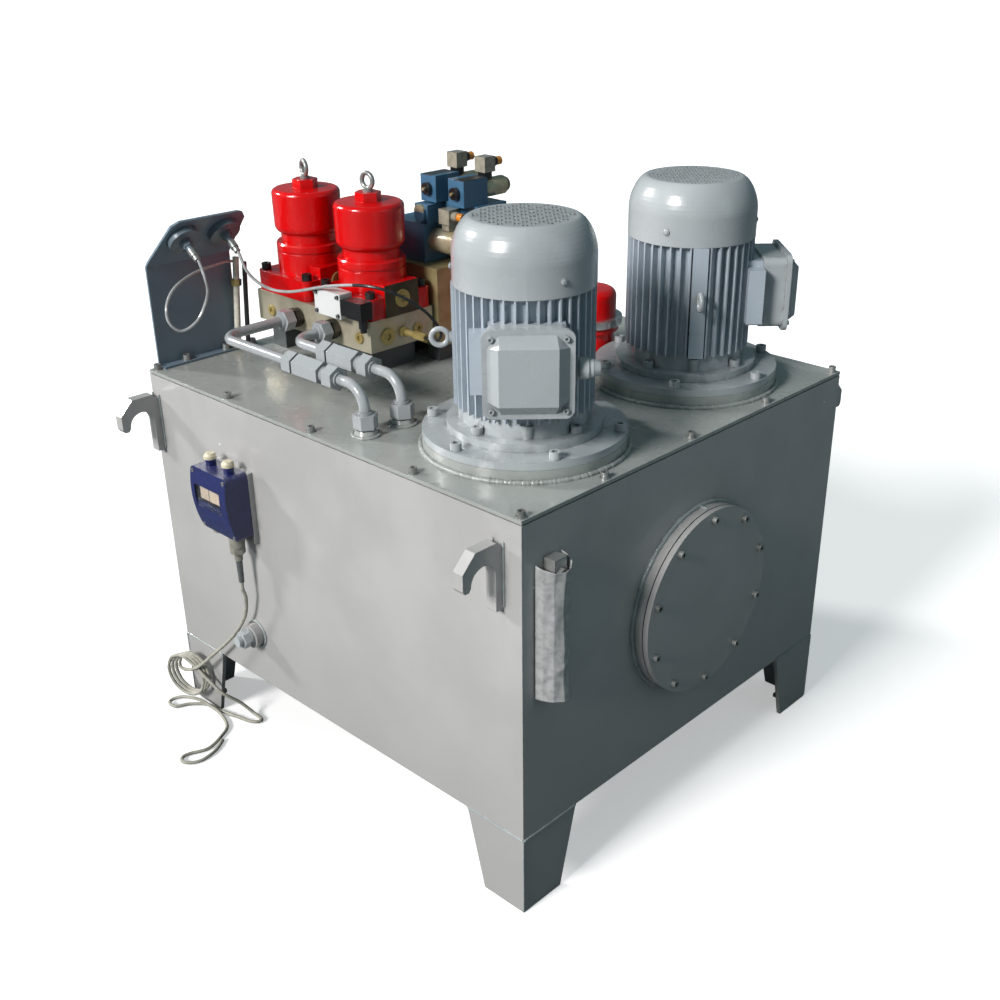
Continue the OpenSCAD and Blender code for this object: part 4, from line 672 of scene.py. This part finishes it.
# Two suns with soft shadows, and a faint panel of cool light on the dark side
lamp("key", "SUN", (-0.02, -0.86, 0.5), 3.8, (1.0, 0.98, 0.975)).data.angle = math.radians(16)
lamp("left", "SUN", (-0.82, -0.36, 0.42), 2.0, (1.0, 0.985, 0.97)).data.angle = math.radians(7)
panel_place, panel_aim = Vector((3.0, 0.6, 1.6)), Vector((0.3, 0, 0.5))
panel = lamp("side", "AREA", panel_place - panel_aim, 4, (0.7, 0.92, 1.0))
panel.location = panel_place
panel.data.shape = "RECTANGLE"
panel.data.size, panel.data.size_y = 1.2, 2.0

# White behind the unit, but only a dim blue-green light on it
world = bpy.data.worlds.new("studio")
bpy.context.scene.world = world
world.use_nodes = True
tree = world.node_tree
tree.nodes.clear()
out, seen, lit, either, ray = (tree.nodes.new("ShaderNode" + kind) for kind in (
    "OutputWorld", "Background", "Background", "MixShader", "LightPath"))
for shader, colour, strength in ((seen, rgb(252, 252, 252), 1.0),
                                 (lit, (0.64, 0.94, 1.04, 1), 0.16)):
    shader.inputs[0].default_value = colour
    shader.inputs[1].default_value = strength
for source, target in ((ray.outputs["Is Camera Ray"], either.inputs[0]),
                       (lit.outputs[0], either.inputs[1]),
                       (seen.outputs[0], either.inputs[2]),
                       (either.outputs[0], out.inputs[0])):
    tree.links.new(source, target)

# Pale floor; it throws back less light than it seems to
floor_size = 30
floor_mesh = bpy.data.meshes.new("floor")
floor_mesh.from_pydata([(x * floor_size, y * floor_size, 0)
                        for x, y in ((-1, -1), (1, -1), (1, 1), (-1, 1))], [], [(0, 1, 2, 3)])
floor = bpy.data.objects.new("floor", floor_mesh)
bpy.context.scene.collection.objects.link(floor)
floor.location.z = -0.0005
floor_look = Look("pale_floor")
direct = floor_look.add("ShaderNodeLightPath").outputs["Is Camera Ray"]
pale = floor_look.mix(floor_look.noise(0.6), rgb(236, 236, 234), rgb(244, 244, 243))
floor_look.set(Base_Color=floor_look.mix(direct, rgb(92, 99, 103), pale),
               Roughness=0.75,
               Emission_Color=(1, 1, 1, 1),
               Emission_Strength=floor_look.math("MULTIPLY", direct, 0.42))
floor_mesh.materials.append(floor_look.material)

# Camera above the corner between the long side and the clean-out cover, its lens shifted a little
camera_data = bpy.data.cameras.new("camera")
camera = bpy.data.objects.new("camera", camera_data)
bpy.context.scene.collection.objects.link(camera)
camera.location = (1.5414, -1.556, 1.4784)
azimuth, elevation = math.radians(42.66), math.radians(26.24)
ahead = Vector((-math.sin(azimuth) * math.cos(elevation),
                math.cos(azimuth) * math.cos(elevation),
                -math.sin(elevation)))
camera.rotation_euler = ahead.to_track_quat("-Z", "Y").to_euler()
camera_data.sensor_width = 36
camera_data.lens = 44.64
camera_data.shift_x = -0.0367
camera_data.shift_y = 0.0244
bpy.context.scene.camera = camera
bpy.context.scene.view_settings.view_transform = "Standard"
